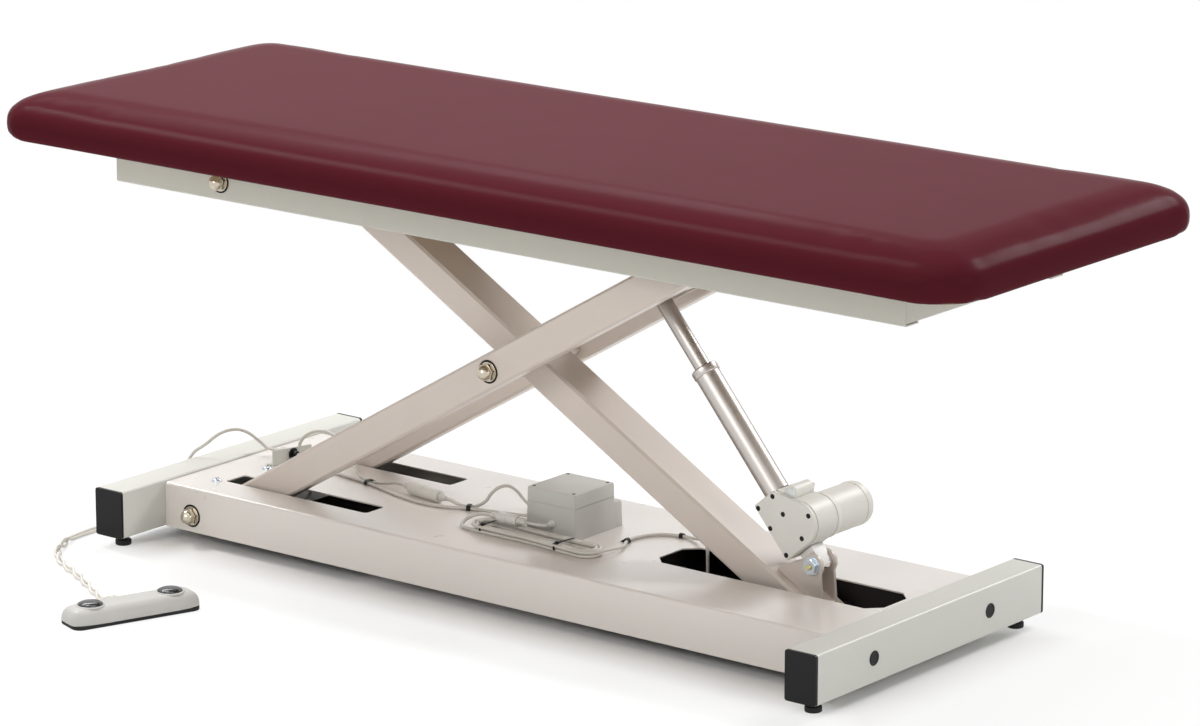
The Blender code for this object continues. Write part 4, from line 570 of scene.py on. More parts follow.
def twisted(phase):
    """The stretch where a cord lies round its neighbour: they cross, and the upper one humps over."""
    points = smooth_route(TWIST_ROUTE, CORD_STEP)
    turns = round(len(points) * CORD_STEP / 0.09)
    laid = []
    for i, point in enumerate(points):
        swing = 2 * math.pi * turns * i / (len(points) - 1)
        ahead = (points[min(i + 1, len(points) - 1)] - points[max(i - 1, 0)]).normalized()
        side = Vector((-ahead.y, ahead.x, 0)) * phase * 0.0042 * math.cos(swing)
        lift = 0.0078 * max(0, phase * math.sin(swing)) ** 2
        laid.append(point + side + Vector((0, 0, lift)))
    return laid


def foot_cord_points(route, phase):
    laid = twisted(phase)
    into_base = BASE.inverted() @ CONTROL
    port = [into_base @ Vector((phase * 0.004, 0.034 + GAP + reach, 0.015))
            for reach in (2 * CORD_STEP, CORD_STEP, 0)]
    way_in = smooth_route(route + laid[:2], CORD_STEP)
    way_out = smooth_route(laid[-2:] + port, CORD_STEP)
    return way_in[:-1] + laid[1:-2] + way_out


def finer(points):
    """More points between the solid's own, on one smooth curve through them."""
    made = [points[0]]
    for a, b, c, d in spans(points):
        made += [between(b, c, (c - a) / 2, (d - b) / 2, i / 4) for i in range(1, 5)]
    return made


def laid_cable(name, node, points, body="base", with_pieces=()):
    """A cable of round section over its solid's own route."""
    route = [point + SHIFT for point in finer(points)]
    curve = fill(bpy.data.curves.new(name, "CURVE"), dimensions="3D", bevel_depth=CABLE_RADIUS,
            bevel_resolution=4, use_fill_caps=True)
    spline = curve.splines.new("POLY")
    spline.points.add(len(route) - 1)
    for point, place in zip(spline.points, route):
        point.co = (*place, 1)
    piece = declared(linked(name, curve), body, *SHEATH, node)


def connector(name, node, centre, direction, radius, length, neck, reach):
    """A moulded in-line connector with ribbed necks, a parting ring and soft ends."""
    half = length / 2
    hole = CABLE_RADIUS + GAP
    lip = hole + 0.0009
    profile = [(hole, half + reach), (lip, half + reach)]
    ribs = 4
    for i in range(ribs):
        top = half + reach - (i + 0.25) * reach / ribs
        low = half + reach - (i + 0.75) * reach / ribs
        wide = lip + (neck - lip) * (i + 1) / ribs
        profile += [(wide, top), (wide, low), (wide - 0.0007, low), (wide - 0.0007, low - reach / ribs / 3)]
    profile += [(neck, half)] + arc((radius - 0.003, half - 0.003), 0.003, 80, 0, 4)
    mirrored = [(r, -h) for r, h in profile[::-1]]
    profile += [(radius, 0.0012), (radius - 0.0008, 0.0006), (radius - 0.0008, -0.0006), (radius, -0.0012)]
    place = facing(at(*centre), direction)
    return turned(name, profile + mirrored, place, 40, "base", PALE[0], SHEATH[1], node)


def relief(name, place, direction, start, end, length, body, look, ribs):
    """A tapered, ribbed strain relief round a cable where it leaves a housing."""
    foot = 0.0024
    profile = [(CABLE_RADIUS * 0.9, 0), (start + 0.0012, 0), (start + 0.0012, 0.002), (start, foot)]
    for i in range(ribs):
        share = (i + 1) / (ribs + 1)
        wide = start + (end - start) * share
        spot = foot + (length - foot) * share
        profile += [(wide, spot - length * 0.035), (wide - 0.0006, spot - length * 0.03),
                (wide - 0.0006, spot + length * 0.03), (wide, spot + length * 0.035)]
    profile += [(end, length - 0.0005), (CABLE_RADIUS * 0.9, length)]
    turned(name, profile, facing(place, direction), 32, body, look, SHEATH[1])


def clip(name, x, y, heading, spare):
    """A black screw-down cable clip: a foot, a loop over the cable and a screw head."""
    spot = moved(at(x, y, DECK + 0.0001)) @ spun("Z", heading + QUARTER)
    over = CABLE_RADIUS + 0.0006
    half = over + spare
    thick = 0.0013
    wide = half + thick
    outer = [(wide + 0.007, 0), (wide + 0.007, thick), (wide, thick), (wide, over)]
    outer += arc((half - over, over), over + thick, 0, 90, 6)
    outer += arc((over - half, over), over + thick, 90, 180, 6)
    outer += [(-wide, 0), (-half, 0)]
    outer += arc((over - half, over), over, 180, 90, 6)
    outer += arc((half - over, over), over, 90, 0, 6)
    shape = prism(bmesh.new(), outer + [(half, 0)], -0.0035, 0.0035, spot)
    lathe(shape, [(0, 0.0022), (0.0014, 0.0021), (0.0024, 0.0012), (0.0026, 0), (0, 0)],
          spot @ moved((wide + 0.0036, 0, thick)), 20)
    rounded(placed(name, shape, "base", *BLACK, sharp=40), 0.0003, 2)


def tie(name, place, across, half_width, low, high):
    """A black tie strapped round a bundle, with its head and cut tail."""
    thick = 0.0012
    half_strap = 0.0019
    middle = (low + high) / 2
    tall = (high - low) / 2
    spot = moved(place) @ spun("Z", across)
    shape = bmesh.new()
    section = ((-half_strap, 0), (half_strap, 0), (half_strap, thick), (-half_strap, thick))
    rings = []
    for c, s in around(28):
        y = half_width * swelled(c, 0.7)
        z = middle + tall * swelled(s, 0.7)
        rings.append(ring_of(shape, [(x, y + c * push, z + s * push) for x, push in section], spot))
    skin(shape, rings + rings[:1], False)
    head = spot @ moved((0, -half_width * 0.72, high + 0.0004))
    for half, bottom, top, back, front in ((0.0028, -0.0012, 0.003, -0.0026, 0.0026),
            (half_strap, 0.0005, 0.0017, -0.0085, -0.0026)):
        prism(shape, [(-half, bottom), (half, bottom), (half, top), (-half, top)], back, front, head)
    rounded(placed(name, shape, "base", *BLACK, sharp=40), 0.0003, 2)


def build_cables():
    link = connector("link_plug", "link_connector", (0.405, -0.004, 0.1075), (-0.9853, 0.1706, 0),
            0.011, 0.076, 0.0065, 0.015)
    motor_plug = connector("motor_plug", "motor_connector", (0.636, -0.07, 0.1185), (1, 0, 0),
            0.009, 0.04, 0.006, 0.016)
    laid_cable("socket_lead", "socket_cable", smooth_route(SOCKET_ROUTE, CABLE_STEP))
    laid_cable("link_lead", "link_cable", smooth_route(LINK_ROUTE, CABLE_STEP), with_pieces=[link])
    hank = hank_points()
    way_in = smooth_route(MOTOR_ROUTE_IN + hank[:2], CABLE_STEP)
    way_out = smooth_route(hank[-2:] + MOTOR_ROUTE_OUT, CABLE_STEP)
    folded = way_in[:-1] + hank[1:-2] + way_out
    laid_cable("motor_hank", "motor_cable", folded, "base", [motor_plug])
    laid_cable("drive_lead", "motor_lead", smooth_route(MOTOR_LEAD_ROUTE, CABLE_STEP), "actuator")
    way_out = foot_cord_points(FOOT_CORD_ROUTE, 1)
    laid_cable("foot_cord_fine", "foot_cord", way_out, with_pieces=[plug_piece()])
    way_back = foot_cord_points(RETURN_CORD_ROUTE, -1)
    laid_cable("foot_cord_return_fine", "foot_cord_return", way_back)


def plug_piece():
    """The foot cord's plug: a barrel with a grip ring, a boot and a shell at the socket."""
    back = -0.0028
    end = back - 0.022
    profile = [(0, 0), (0.0058, 0), (0.0058, back), (0.0072, back)]
    profile += arc((0.007, back - 0.001), 0.001, 90, 0, 3)
    for i in range(6):
        low = back - 0.004 - i * 0.0022
        profile += [(0.008, low), (0.008, low - 0.0012), (0.0074, low - 0.0014), (0.0074, low - 0.002)]
    profile += [(0.008, end + 0.003), (0.0078, end + 0.001), (0.0062, end), (0.0045, end - 0.0025)]
    for i in range(4):
        low = end - 0.004 - i * 0.0032
        wide = 0.0045 - 0.00028 * (i + 1)
        thin = wide - 0.0005
        profile += [(wide, low), (wide, low - 0.0016), (thin, low - 0.0018), (thin, low - 0.003)]
    profile += [(CABLE_RADIUS + GAP, end - 0.018), (0, end - 0.018)]
    place = facing(at(0.078, 0.035, DECK + 0.0118), (1, 0, 0))
    return turned("foot_plug", profile, place, 40, "base", *SHEATH, "foot_cord_plug")


# Drive
def gearbox_outline(grow=0):
    corner = 0.004
    right = 0.13 + grow - corner
    top = 0.03 + grow - corner
    outline = arc((right, -0.021 - grow + corner), corner, -90, 0, 5)
    outline += arc((right, top), corner, 0, 90, 5)
    outline += arc((0.028 - grow + corner, top), corner, 90, 180, 5)
    return outline + arc((0.065, -0.025), 0.036 + grow, 180, 318, 48)


def bore(piece, profile, matrix):
    """Cuts a turned shape out of a piece."""
    cutter = solid("bore", lathe(bmesh.new(), profile, matrix, 48))
    mesh = cutter.data
    apply_modifiers(modify(piece, "BOOLEAN", operation="DIFFERENCE", solver="EXACT", object=cutter))
    bpy.data.objects.remove(cutter)
    bpy.data.meshes.remove(mesh)
    piece.data.set_sharp_from_angle(angle=math.radians(35))


def build_drive():
    near, far = -0.0243, 0.028
    boss_place = (0.112, 0, -0.038)
    shape = prism(bmesh.new(), gearbox_outline(), near + 0.0012, far, DRIVE)
    prism(shape, gearbox_outline(-0.0014), near - 0.0002, near + 0.0012, DRIVE)
    boss = DRIVE @ moved(boss_place) @ spun("X", QUARTER) @ Matrix.Scale(-1, 4, (0, 0, 1))
    profile = [(0, near + 0.003), (0.011, near + 0.003), (0.012, near + 0.004), (0.012, far - 0.003),
               (0, far - 0.003)]
    lathe(shape, profile, boss, 48)
    housing = placed("gear_case", shape, "actuator", *PALE, "gearbox_housing", sharp=35)
    bore(housing, [(0, 0.078), (0.0146, 0.078), (0.0146, 0.14), (0, 0.14)], ALONG_DRIVE)
    rounded(housing, 0.0016, 3, 40)
    back = near - GAP
    front = back - 0.0075
    shape = prism(bmesh.new(), gearbox_outline(-0.0002), front, back, DRIVE)
    rounded(placed("gear_cover", shape, "actuator", *PALE, "gearbox_cover", sharp=35), 0.0022, 4, 40)
    toward = (DRIVE.to_3x3() @ Vector(NEAR)).normalized()
    for i, (along, across) in enumerate(((0.123, -0.012), (0.122, 0.0245), (0.0906, -0.0116), (0.064, -0.053),
            (0.085, 0.0245), (0.042, -0.019), (0.036, 0.0245))):
        face = facing(DRIVE @ Vector((along, front, across)), toward)
        # Black discs round the cover screws: painted shade in their recesses
        recess = sunk(0.0036, 0.0006, 0.0003)
        turned(f"cover_recess_{i}", recess, face, 24, "actuator", LOOKS["black_plastic"])
        profile = [(0, 0.0007), (0.0013, 0.0007), (0.0015, 0.0009), (0.0024, 0.0008), (0.0027, 0.0004),
                   (0.0027, -0.001), (0, -0.001)]
        turned(f"cover_screw_{i}", profile, face, 20, "actuator", DARK_STEEL_AND_SHADE, "bright_steel")
    profile = [(0, 0.002), (0.006, 0.0019), (0.0082, 0.0012), (0.009, 0), (0.009, -0.003), (0, -0.003)]
    place = facing(DRIVE @ Vector((boss_place[0], near + 0.003, boss_place[2])), toward)
    turned("boss_cap", profile, place, 40, "actuator", *BUTTON_GREY)
    start, end, radius = 0.0283, 0.128, 0.037
    profile = [(0, start), (radius - 0.0006, start), (radius, start + 0.0008), (radius, start + 0.0085),
               (radius - 0.0006, start + 0.0094), (radius - 0.0012, start + 0.01),
               (radius - 0.0012, end - 0.02), (radius - 0.0018, end - 0.0196),
               (radius - 0.0018, end - 0.0184), (radius - 0.0008, end - 0.018)]
    profile += arc((radius - 0.0088, end - 0.008), 0.008, 0, 90, 10) + [(0, end)]
    axis = DRIVE @ moved((0.065, 0, -0.025)) @ spun("X", -QUARTER)
    turned("motor_can", profile, axis, 96, "actuator", *PALE, "motor_housing", 35)
    profile = [(0.0145, 0.36), (0.0192, 0.36), (0.0208, 0.3592), (0.0218, 0.358), (0.022, 0.3568),
               (0.022, 0.3475), (0.0214, 0.3462), (0.0205, 0.3458), (0.0205, 0.1303), (0.0145, 0.1303)]
    local = Matrix.Identity(4)
    shape = lathe(bmesh.new(), profile, local, 96)
    placed("drive_tube", shape, "actuator", *TUBE_STEEL, "actuator_tube", ALONG_DRIVE)
    start = DRIVE_LENGTH - 0.295
    end = DRIVE_LENGTH - 0.012
    shape = lathe(bmesh.new(), [(0, start), (0.01325, start), (0.01325, end), (0, end)], local, 72)
    profile = [(0.0083, -0.014), (0.0172, -0.014), (0.018, -0.0132), (0.018, 0.0132), (0.0172, 0.014),
               (0.0083, 0.014), (0.0083, -0.014)]
    lathe(shape, profile, moved((0, 0, DRIVE_LENGTH)) @ spun("X", -QUARTER), 48)
    placed("drive_rod", shape, "actuator_rod", *TUBE_STEEL, "actuator_rod", ALONG_DRIVE)
    profile = [(0.0134, 0.3602), (0.0142, 0.3602), (0.0142, 0.3588), (0.0134, 0.3588)]
    turned("rod_wiper", profile, ALONG_DRIVE, 48, "actuator", *RUBBER)


# Nuts, feet and small hardware
def acorn(name, node, place, body):
    """A flanged dome nut on a dark washer, seated on the outer face."""
    matrix = facing(place, NEAR)
    radius = 0.0125
    shape = hexagon(bmesh.new(), 0.0152, 12, 0.0012, 0.0088, matrix)
    dome = [(radius * math.cos(math.radians(a)), 0.0088 + 0.0127 * math.sin(math.radians(a)))
            for a in (0, 12, 24, 36, 48, 60, 70, 80)]
    lathe(shape, [(0, 0.006), (radius, 0.006)] + dome + [(0, 0.0215)], matrix, 48)
    lathe(shape, washer(0.016, 0.0004, 0.0002, 0.0018), matrix, 48)
    rounded(placed(name, shape, body, LOOKS["nickel"], "nickel", node, sharp=50), 0.0007, 3, 35)
    flat = washer(0.0188, 0.0005, 0.0001, 0.0011)
    turned(name + "_washer", flat, matrix, 48, body, DARK_STEEL_AND_SHADE, "bright_steel")


def level_foot(node):
    """A rubber foot with a knurled rim on a threaded stem."""
    low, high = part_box(node)
    x, y = (low[0] + high[0]) / 2, (low[1] + high[1]) / 2
    profile = [(0, 0), (0.0118, 0), (0.0128, 0.0004), (0.0134, 0.0014), (0.0135, 0.003), (0.0135, 0.0072),
               (0.0132, 0.0084), (0.0124, 0.009), (0.01, 0.0092), (0.0088, 0.0096), (0.0084, 0.011),
               (0.0084, 0.0196), (0.005, 0.0199)]
    for i in range(14):
        height = 0.0199 + i * 0.0015
        profile += [(0.005, height), (0.0045, height + 0.00075)]
    shape = lathe(bmesh.new(), profile + [(0, 0.0419)], moved((x, y, 0)), 48)
    teeth = []
    for vertex in shape.verts:
        out = Vector((vertex.co.x - x, vertex.co.y - y, 0))
        if 0.002 < vertex.co.z < 0.008 and out.length > 0.013:
            teeth.append((vertex, out))
    for vertex, out in teeth[1::2]:
        vertex.co -= out.normalized() * 0.0005
    placed(node + "_fine", shape, node + "_body", *RUBBER, node, sharp=35)


def deck_screw(name, place):
    """A pan head with a cross recess drawn as near-black bars: painted shade in the recess."""
    radius, height = 0.0085, 0.0048
    matrix = facing(place, (0, 0, 1))
    profile = [(0, height), (radius * 0.55, height * 0.96), (radius * 0.85, height * 0.7),
               (radius, height * 0.25), (radius, 0), (0, 0)]
    turned(name, profile, matrix, 32, "base", *ZINC, sharp=40)
    wide, thick = radius * 0.5, radius * 0.11
    # The cross recess as near-black bars: painted shade
    shape = bmesh.new()
    for turn in (0, QUARTER):
        spot = matrix @ spun("Z", turn + 0.4) @ moved((0, 0, height))
        prism(shape, [(-wide, -thick), (wide, -thick), (wide, thick), (-wide, thick)], -0.0004, 0.00012,
              spot @ spun("X", QUARTER))
    placed(name + "_recess", shape, "base", DARK_STEEL_AND_SHADE)


def build_pin_nut():
    """A plain hex nut on a washer over the drive's lower pin, with the pin's thread in it."""
    low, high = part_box("lower_pin")
    middle = Vector(((low.x + high.x) / 2, low.y, (low.z + high.z) / 2))
    radius = 0.0132
    matrix = facing(middle + Vector((0, 0.0068, 0)), NEAR)
    shape = hexagon(bmesh.new(), radius, 20, 0, 0.0074, matrix)
    lathe(shape, washer(radius * 1.12, radius * 0.03, -0.0012, 0), matrix, 48)
    rounded(placed("pin_nut", shape, "inner_arms", *ZINC, sharp=50), 0.0007, 3, 35)
    stud = [(0, 0.0044), (0.0038, 0.0044), (0.0046, 0.0036)]
    for i in range(3):
        stud += [(0.0046, 0.0032 - i * 0.0012), (0.0041, 0.0026 - i * 0.0012)]
    turned("pin_stud", stud + [(0.0046, -0.001), (0, -0.001)], facing(middle, NEAR), 32, "inner_arms",
           LOOKS["yellow_zinc"], "yellow_zinc")


def build_reliefs():
    profile = [(CABLE_RADIUS, 0.01), (0.0052, 0.01), (0.006, 0.009), (0.0062, 0.002), (0.01, 0.0018),
               (0.0104, 0.0008), (0.0104, -0.0002), (CABLE_RADIUS, -0.0002)]
    turned("socket_ring", profile, facing(at(0.0792, 0.035, DECK + 0.0118), (1, 0, 0)), 40, "base", *BLACK)
    profile = [(CABLE_RADIUS, 0.005), (0.005, 0.005), (0.0066, 0.0036), (0.008, 0.0014), (0.0082, 0.0001),
               (CABLE_RADIUS, 0.0001)]
    turned("deck_grommet", profile, moved(at(0.058, 0.074, DECK)), 40, "base", *RUBBER)
    relief("box_relief_near", at(0.71, -0.049, 0.1185), NEAR, 0.0052, 0.0034, 0.0105, "base", PALE[0], 2)
    for name, y in (("box_relief_a", 0.015), ("box_relief_b", 0.045)):
        relief(name, at(0.655, y, 0.1065), (-1, 0, 0), 0.0056, 0.0034, 0.022, "base", PALE[0], 4)
    relief("drive_relief", at(1.1637, 0.025, 0.2445), (0, 1, 0), 0.006, 0.0036, 0.013, "actuator", PALE[0], 3)
    away = CONTROL.to_3x3() @ Vector((0, 1, 0))
    for name, phase in (("control_relief_a", 1), ("control_relief_b", -1)):
        relief(name, CONTROL @ Vector((phase * 0.004, 0.0338, 0.015)), away, 0.0037, 0.0031, 0.018, "base",
               WHITE_PLASTIC[0], 3)


def build_hardware():
    acorn("base_nut", "base_pivot_nut", at(PIVOT_X, -0.1974, PIVOT_Z), "base")
    acorn("middle_nut", "centre_nut", at(CENTRE_X, -0.127, CENTRE_Z), "outer_arms")
    acorn("top_nut", "top_pivot_nut", Vector((-0.5699, -0.0461, 0.6315)), "table_top")
    build_pin_nut()
    for node in ("foot_left_near", "foot_left_far", "foot_right_near", "foot_right_far"):
        level_foot(node)
    deck_screw("deck_screw_near", at(0.064, -0.139, DECK))
    deck_screw("deck_screw_middle", at(0.08, -0.032, DECK))
    radius = 0.0115
    right_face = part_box("right_bar")[1][0]
    for name, y in (("bar_plug_near", -0.155), ("bar_plug_far", 0.155)):
        profile = [(0, 0.0006), (radius * 0.72, 0.0005), (radius * 0.8, 0.0012), (radius * 0.98, 0.0012),
                   (radius * 1.04, 0.0006), (radius * 1.04, 0.0001), (radius * 0.92, 0),
                   (radius * 0.92, -0.0035), (0, -0.0035)]
        place = facing(Vector((right_face, y + SHIFT.y, 0.0604)), (1, 0, 0))
        turned(name, profile, place, 48, "base", *BLACK)
    clip("clip_a", 0.2755, 0.0037, -0.2, 0.0045)
    clip("clip_b", 0.503, -0.009, 0.5, 0.0052)
    clip("clip_c", 0.824, 0.001, 1.5, 0)
    clip("clip_d", 0.876, 0.077, 0, 0)
    for name, reach in (("hank_tie_left", -0.1), ("hank_tie_right", 0.06)):
        spot = at(*HANK_CENTRE, 0) + Vector((math.cos(HANK_TURN), math.sin(HANK_TURN), 0)) * reach
        tie(name, spot, HANK_TURN, HANK_HALF_WIDTH + CABLE_RADIUS - 0.001, DECK + 0.0004,
            DECK_LIE + HANK_PITCH + CABLE_RADIUS + 0.0004)
    build_reliefs()


# Power box and foot control
def drafted(shape, a, b, draft, cuts):
    """A box with rounded corners that narrows upward, with an inset at each cut."""
    rings = []
    for share, inset in cuts:
        z = a[2] + (b[2] - a[2]) * share
        inset = inset + draft * share
        outline = rectangle(a[0] + inset, b[0] - inset, a[1] + inset, b[1] - inset, 0.004, 5)
        rings.append(level_ring(shape, outline, z))
    return skin(shape, rings)


def build_box():
    """The supply's case: drafted walls, a lid line, a plain shelf and four lid screws."""
    low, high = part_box("power_box")
    shelf_top = low.z + 0.042
    main_far = 0.058 + SHIFT.y
    line = 0.7
    groove = 0.0008
    shape = drafted(bmesh.new(), low, (high.x, main_far, high.z), 0.0015,
            [(0, 0), (line - 0.012, 0), (line - 0.012, groove), (line + 0.004, groove),
            (line + 0.004, 0), (0.965, 0), (0.988, 0.0008), (1, 0.0028)])
    drafted(shape, (low.x + 0.001, main_far - 0.006, low.z), (high.x - 0.001, high.y, shelf_top), 0.001,
            [(0, 0), (0.94, 0), (0.98, 0.0008), (1, 0.0024)])
    placed("supply_case", shape, "base", *BOX_PLASTIC, "power_box")
    inset = 0.01
    for i, (x, y) in enumerate(((low.x + inset, low.y + inset), (high.x - inset, low.y + inset),
            (low.x + inset, main_far - inset), (high.x - inset, main_far - inset))):
        turned(f"case_screw_{i}", sunk(0.0028, 0.0004, 0.0002), moved((x, y, high.z)), 24, "base", DARK_STEEL_AND_SHADE)


def build_control():
    """The foot control: a shell with round ends, swept sides and raised collars round its two buttons."""
    half_length, half_width = 0.114, 0.034
    power = 0.36
    shape = bmesh.new()
    rings = []
    for z, inset in ((0.0063, 0.0006), (0.0068, 0), (0.0085, 0), (0.015, 0.0008), (0.0205, 0.0026),
            (0.0245, 0.0054), (0.0272, 0.0088), (0.0289, 0.0126), (0.0297, 0.0165), (0.03, 0.0205)):
        points = []
        for c, s in around(96):
            x = (half_length - inset) * swelled(c, power)
            y = (half_width - inset) * swelled(s, power)
            points.append((x, y * (1 - 0.05 * (abs(x) / half_length) ** 6), z))
        rings.append(ring_of(shape, points))
    placed("control_shell", skin(shape, rings), "base", *WHITE_PLASTIC, "foot_control_housing", CONTROL, 50)
    collar = [(0.0203, 0.0285), (0.0203, 0.0308), (0.0209, 0.0314), (0.0222, 0.0314), (0.0232, 0.0306),
              (0.024, 0.0296), (0.024, 0.0285)]
    cap = [(0, 0.0365), (0.004, 0.0364), (0.008, 0.03615), (0.0115, 0.0357), (0.0145, 0.035),
           (0.0168, 0.0342),
           (0.018, 0.0336), (0.0186, 0.0329), (0.0192, 0.0327), (0.0198, 0.0321), (0.02, 0.0312),
           (0.02, 0.018), (0, 0.018)]
    for label, side in (("left", -1), ("right", 1)):
        spot = CONTROL @ moved((side * 0.0705, 0, 0))
        turned(f"button_collar_{label}", collar, spot, 64, "base", *WHITE_PLASTIC, sharp=50)
        node = f"foot_button_{label}"
        turned(f"button_cap_{label}", cap, spot, 64, f"button_{label}", *GLOSS_BLACK, node, 50)


# Pad
SECTION = [(0, 0.06), (0.02, 0.035), (0.07, 0.015), (0.15, 0.005), (0.26, 0), (0.38, 0), (0.48, 0.02),
           (0.57, 0.07), (0.65, 0.15), (0.73, 0.28), (0.8, 0.45), (0.86, 0.67), (0.91, 0.92), (0.955, 1.25),
           (0.985, 1.7), (1, 2.4)]
PAD_CORNER = 0.079
LEAST_CORNER = 0.024
PAD_SHRINK = 0.0015
VOXEL = 0.0095
MOST_PUFF = 0.005
WRAP = 0.0016
RIM = 0.04
CLOTH_STEPS = 20


def build_cage(low, high):
    """The pad's plain form: rounded outlines lofted through the section."""
    thick = high.z - low.z
    shape = bmesh.new()
    rings = []
    for share, inset in SECTION:
        inset = inset * thick + PAD_SHRINK
        outline = rectangle(low.x + inset, high.x - inset, low.y + inset, high.y - inset,
                max(PAD_CORNER - inset, LEAST_CORNER), 12)
        rings.append(level_ring(shape, outline, low.z + thick * share))
    return solid("pad", skin(shape, rings))


def inflate(pad):
    """Blows the cage up a little as cloth."""
    cloth = pad.modifiers.new("cloth", "CLOTH")
    fill(cloth.settings, use_pressure=True, uniform_pressure_force=4, quality=5, mass=0.4,
         tension_stiffness=25, compression_stiffness=25)
    cloth.settings.effector_weights.gravity = 0
    cloth.collision_settings.use_collision = False
    fill(cloth.point_cache, frame_start=1, frame_end=CLOTH_STEPS)
    for step in range(1, CLOTH_STEPS + 1):
        bpy.context.scene.frame_set(step)
    apply_modifiers(pad)
    bpy.context.scene.frame_set(1)


def fit_outline(pad, low, high):
    """Stretches the pad in the plane of the table to its full length and width."""
    for axis in (0, 1):
        values = [vertex.co[axis] for vertex in pad.data.vertices]
        least, most = min(values), max(values)
        grow = (high[axis] - low[axis] - 0.002) / (most - least)
        middle = (high[axis] + low[axis]) / 2
        for vertex in pad.data.vertices:
            vertex.co[axis] = middle + (vertex.co[axis] - (least + most) / 2) * grow


def build_pad():
    """The padded top: a lofted cage, inflated a little, with its underside held flat on the board."""
    low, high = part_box("cushion")
    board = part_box("pad_board")[0].z
    pad = modify(build_cage(low, high), "REMESH", mode="VOXEL", voxel_size=VOXEL, use_smooth_shade=True)
    apply_modifiers(pad)
    before = [vertex.co.copy() for vertex in pad.data.vertices]
    inflate(pad)
    for vertex, start in zip(pad.data.vertices, before):
        move = vertex.co - start
        if move.length > MOST_PUFF:
            move = move.normalized() * MOST_PUFF
        place = start + move
        soft = noise.noise(Vector((place.x * 3.1, place.y * 3.7, place.z * 2 + 5)))
        top = max(0, min(1, (place.z - low.z) / (high.z - low.z) * 2 - 1))
        place.z += 0.0007 * soft * top
        inside = min(place.x - low.x, high.x - place.x, place.y - low.y, high.y - place.y)
        if start.z < low.z + 0.004:
            place.z = board - WRAP + 0.0005 * soft if inside < RIM else board + 0.004
        place.z = min(place.z, high.z + 0.0012)
        place.x = min(max(place.x, low.x - 0.001), high.x + 0.001)
        place.y = min(max(place.y, low.y - 0.001), high.y + 0.001)
        vertex.co = place
    modify(pad, "LAPLACIANSMOOTH", iterations=2, lambda_factor=0.6, lambda_border=0)
    modify(pad, "SUBSURF", levels=1, render_levels=1)
    apply_modifiers(pad)
    fit_outline(pad, low, high)
    pad.data.shade_smooth()
    pad.data.materials.clear()
    declared(pad, "table_top", LOOKS["burgundy_vinyl"], "burgundy_vinyl", "cushion")


def build_shade_pan(name, start, end, wall=None):
    """A thin near-black sheet under the openings of the tray, with its rim folded up: painted shade, so the
    openings look dark inside.
    """
    low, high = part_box("chassis")
    x0, x1, y0, y1 = start + SHIFT.x, end + SHIFT.x, low.y + 0.004, high.y - 0.004
    z, rise, thick = low.z + 0.0004, 0.005, 0.0008
    shape = bmesh.new()
    rings = []
    for inset, height in ((0.0022, thick), (thick, 0.002), (thick, rise), (0, rise), (0, 0.0015),
            (0.0015, 0)):
        outline = rectangle(x0 + inset, x1 - inset, y0 + inset, y1 - inset, 0.006, 4)
        rings.append(level_ring(shape, outline, z + height))
    skin(shape, rings)
    if wall:
        sides = ((y0 + 0.008, z + thick), (y1 - 0.008, z + thick), (y1 - 0.008, wall), (y0 + 0.008, wall))
        skin(shape, [ring_of(shape, [(x, *side) for side in sides]) for x in (x0 + 0.0012, x0 + 0.002)])
    placed(name, shape, "base", DARK_STEEL_AND_SHADE, "frame_paint", sharp=40)


# Frame nodes that stay
# The base track takes the near-black steel: painted shade inside the well
SPECIAL_LOOKS = {"base_track": DARK_STEEL_AND_SHADE, "foot_control_sole": RUBBER[0], "top_axle": LOOKS["bright_steel"],
        "lower_pin": LOOKS["yellow_zinc"], "rear_clevis": LOOKS["bright_steel"],
        # The chassis takes the lighter tray paint: painted light
        "chassis": LIT_TRAY_PAINT}
SOFT_EDGES = {0.0005: ("cord_bracket",),
        0.0006: ("left_bar", "right_bar", "frame_rail", "frame_end", "rear_clevis"),
        0.0008: ("rod_bracket", "actuator_ears", "foot_control_sole"),
        0.0009: ("outer_arm", "inner_arm"), 0.0011: ("cap_",), 0.0012: ("chassis",)}


def dress_nodes():
    slots = {row["node"]: row["material_slot"] for row in frame["record"]["subparts"]}
    for name, piece in NODES.items():
        if piece.hide_render:
            continue
        piece.data.materials.clear()
        # Rails and end rails take the darker rail paint: painted shade
        plain = SHADED_RAIL_PAINT if name.startswith(("frame_rail", "frame_end")) else LOOKS[slots[name]]
        piece.data.materials.append(SPECIAL_LOOKS.get(name, plain))
        modify(piece, "WELD", merge_threshold=0.00001)
        for width, starts in SOFT_EDGES.items():
            if name.startswith(starts):
                modify(rounded(piece, width, 3, 40), "WEIGHTED_NORMAL", weight=100)


# Floor and light
LIGHTS = (("key", (-0.2, -4.4, 2.6), (0.1, 0.1, 0.3), (2.6, 2), 70, (1, 0.98, 0.95)),
          ("top", (0.5, 0, 3.4), (0.3, 0, 0), (2.2, 1.6), 34, (1, 1, 1)),
          ("strip", (-2.5, 0.12, 3.9), (-0.1, 0, 0.6), (0.26, 3), 150, (1, 1, 1)),
          ("left_back", (-3, 2.4, 3.1), (-0.1, 0.1, 0.3), (2.4, 0.6), 36, (0.98, 0.99, 1)),
          ("back", (1.2, 3.6, 2.9), (0.5, 0.2, 0.3), (1.6, 0.8), 100, (0.97, 0.985, 1)),
          ("right", (4.4, 0.2, 2), (0.3, 0.1, 0.2), (2, 1.4), 40, (1, 0.99, 0.97)))
SHADOW_HALF_LENGTH = 0.7
SHADOW_HALF_WIDTH = 0.2
SKY_LIGHT = 0.24


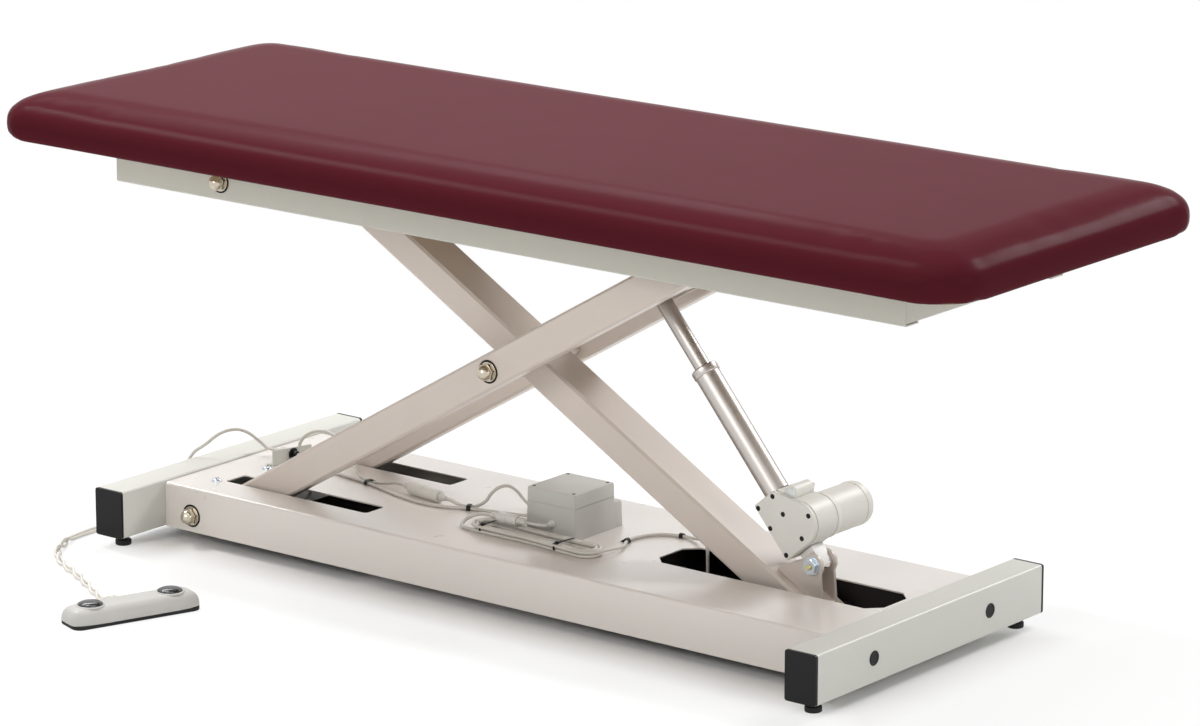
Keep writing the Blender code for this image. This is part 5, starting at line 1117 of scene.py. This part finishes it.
def background_rays(tree):
    """One for the rays that show the background itself: camera, glossy and transmission rays."""
    path = tree.nodes.new("ShaderNodeLightPath")
    total = path.outputs["Is Camera Ray"]
    for name in ("Is Glossy Ray", "Is Transmission Ray"):
        pair = fill(tree.nodes.new("ShaderNodeMath"), operation="MAXIMUM")
        tree.links.new(total, pair.inputs[0])
        tree.links.new(path.outputs[name], pair.inputs[1])
        total = pair.outputs[0]
    return total


def build_floor():
    """A pale floor that keeps the shadow near the part and turns to plain white away from it."""
    bpy.ops.mesh.primitive_plane_add(size=40, location=(0, 0, 0))
    floor = bpy.context.object
    floor.name = "floor"
    made = Finish("floor", (0.95, 0.95, 0.95), 0.75, specular=0.1)
    made.tint(made.noise(0.8, 2), (0.93, 0.93, 0.93), 0.5)
    glow = made.node("ShaderNodeEmission", Strength=1)
    split = made.node("ShaderNodeSeparateXYZ")
    made.link(made.place, split.inputs[0])
    beyond = []
    for axis, middle, half in (("X", 0, SHADOW_HALF_LENGTH), ("Y", SHIFT.y, SHADOW_HALF_WIDTH)):
        off = made.math("ABSOLUTE", made.math("SUBTRACT", split.outputs[axis], middle), 0)
        beyond.append(made.math("SUBTRACT", off, half))
    reach = made.math("MAXIMUM", *beyond)
    away = made.math("ADD", made.spread(reach, 0.02, 0.1, 0, 0.72), made.spread(reach, 0.15, 0.9, 0, 0.28))
    mixer = made.node("ShaderNodeMixShader")
    made.link(made.math("MULTIPLY", away, background_rays(made.tree)), mixer.inputs["Fac"])
    made.link(made.shader.outputs["BSDF"], mixer.inputs[1])
    made.link(glow.outputs["Emission"], mixer.inputs[2])
    made.link(mixer.outputs["Shader"], made.tree.nodes["Material Output"].inputs["Surface"])
    floor.data.materials.append(made.material)


def build_light():
    world = bpy.data.worlds.new("studio")
    bpy.context.scene.world = world
    world.use_nodes = True
    tree = world.node_tree
    sky = fill(tree.nodes["Background"], Color=(1, 1, 1, 1))
    strength = fill(tree.nodes.new("ShaderNodeMapRange"), To_Min=SKY_LIGHT, To_Max=1)
    tree.links.new(background_rays(tree), strength.inputs["Value"])
    tree.links.new(strength.outputs["Result"], sky.inputs["Strength"])
    for name, place, target, size, power, colour in LIGHTS:
        data = fill(bpy.data.lights.new(name, "AREA"), shape="RECTANGLE", size=size[0], size_y=size[1],
                energy=power, color=colour)
        turn = (Vector(target) - Vector(place)).to_track_quat("-Z", "Y").to_euler()
        fill(linked(name, data), location=place, rotation_euler=turn)
    bpy.context.scene.view_settings.view_transform = "Standard"


def corners(box):
    return [[float(v) for v in corner] for corner in box]


add_camera()
build_cables()
build_drive()
build_hardware()
build_box()
build_control()
build_pad()
# Near-black sheets under the slots and the well: painted shade
build_shade_pan("slot_shade_pan", 0.105, 0.395)
build_shade_pan("well_shade_pan", 0.9035, 1.355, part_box("chassis")[1].z - 0.006)
dress_nodes()
build_floor()
build_light()
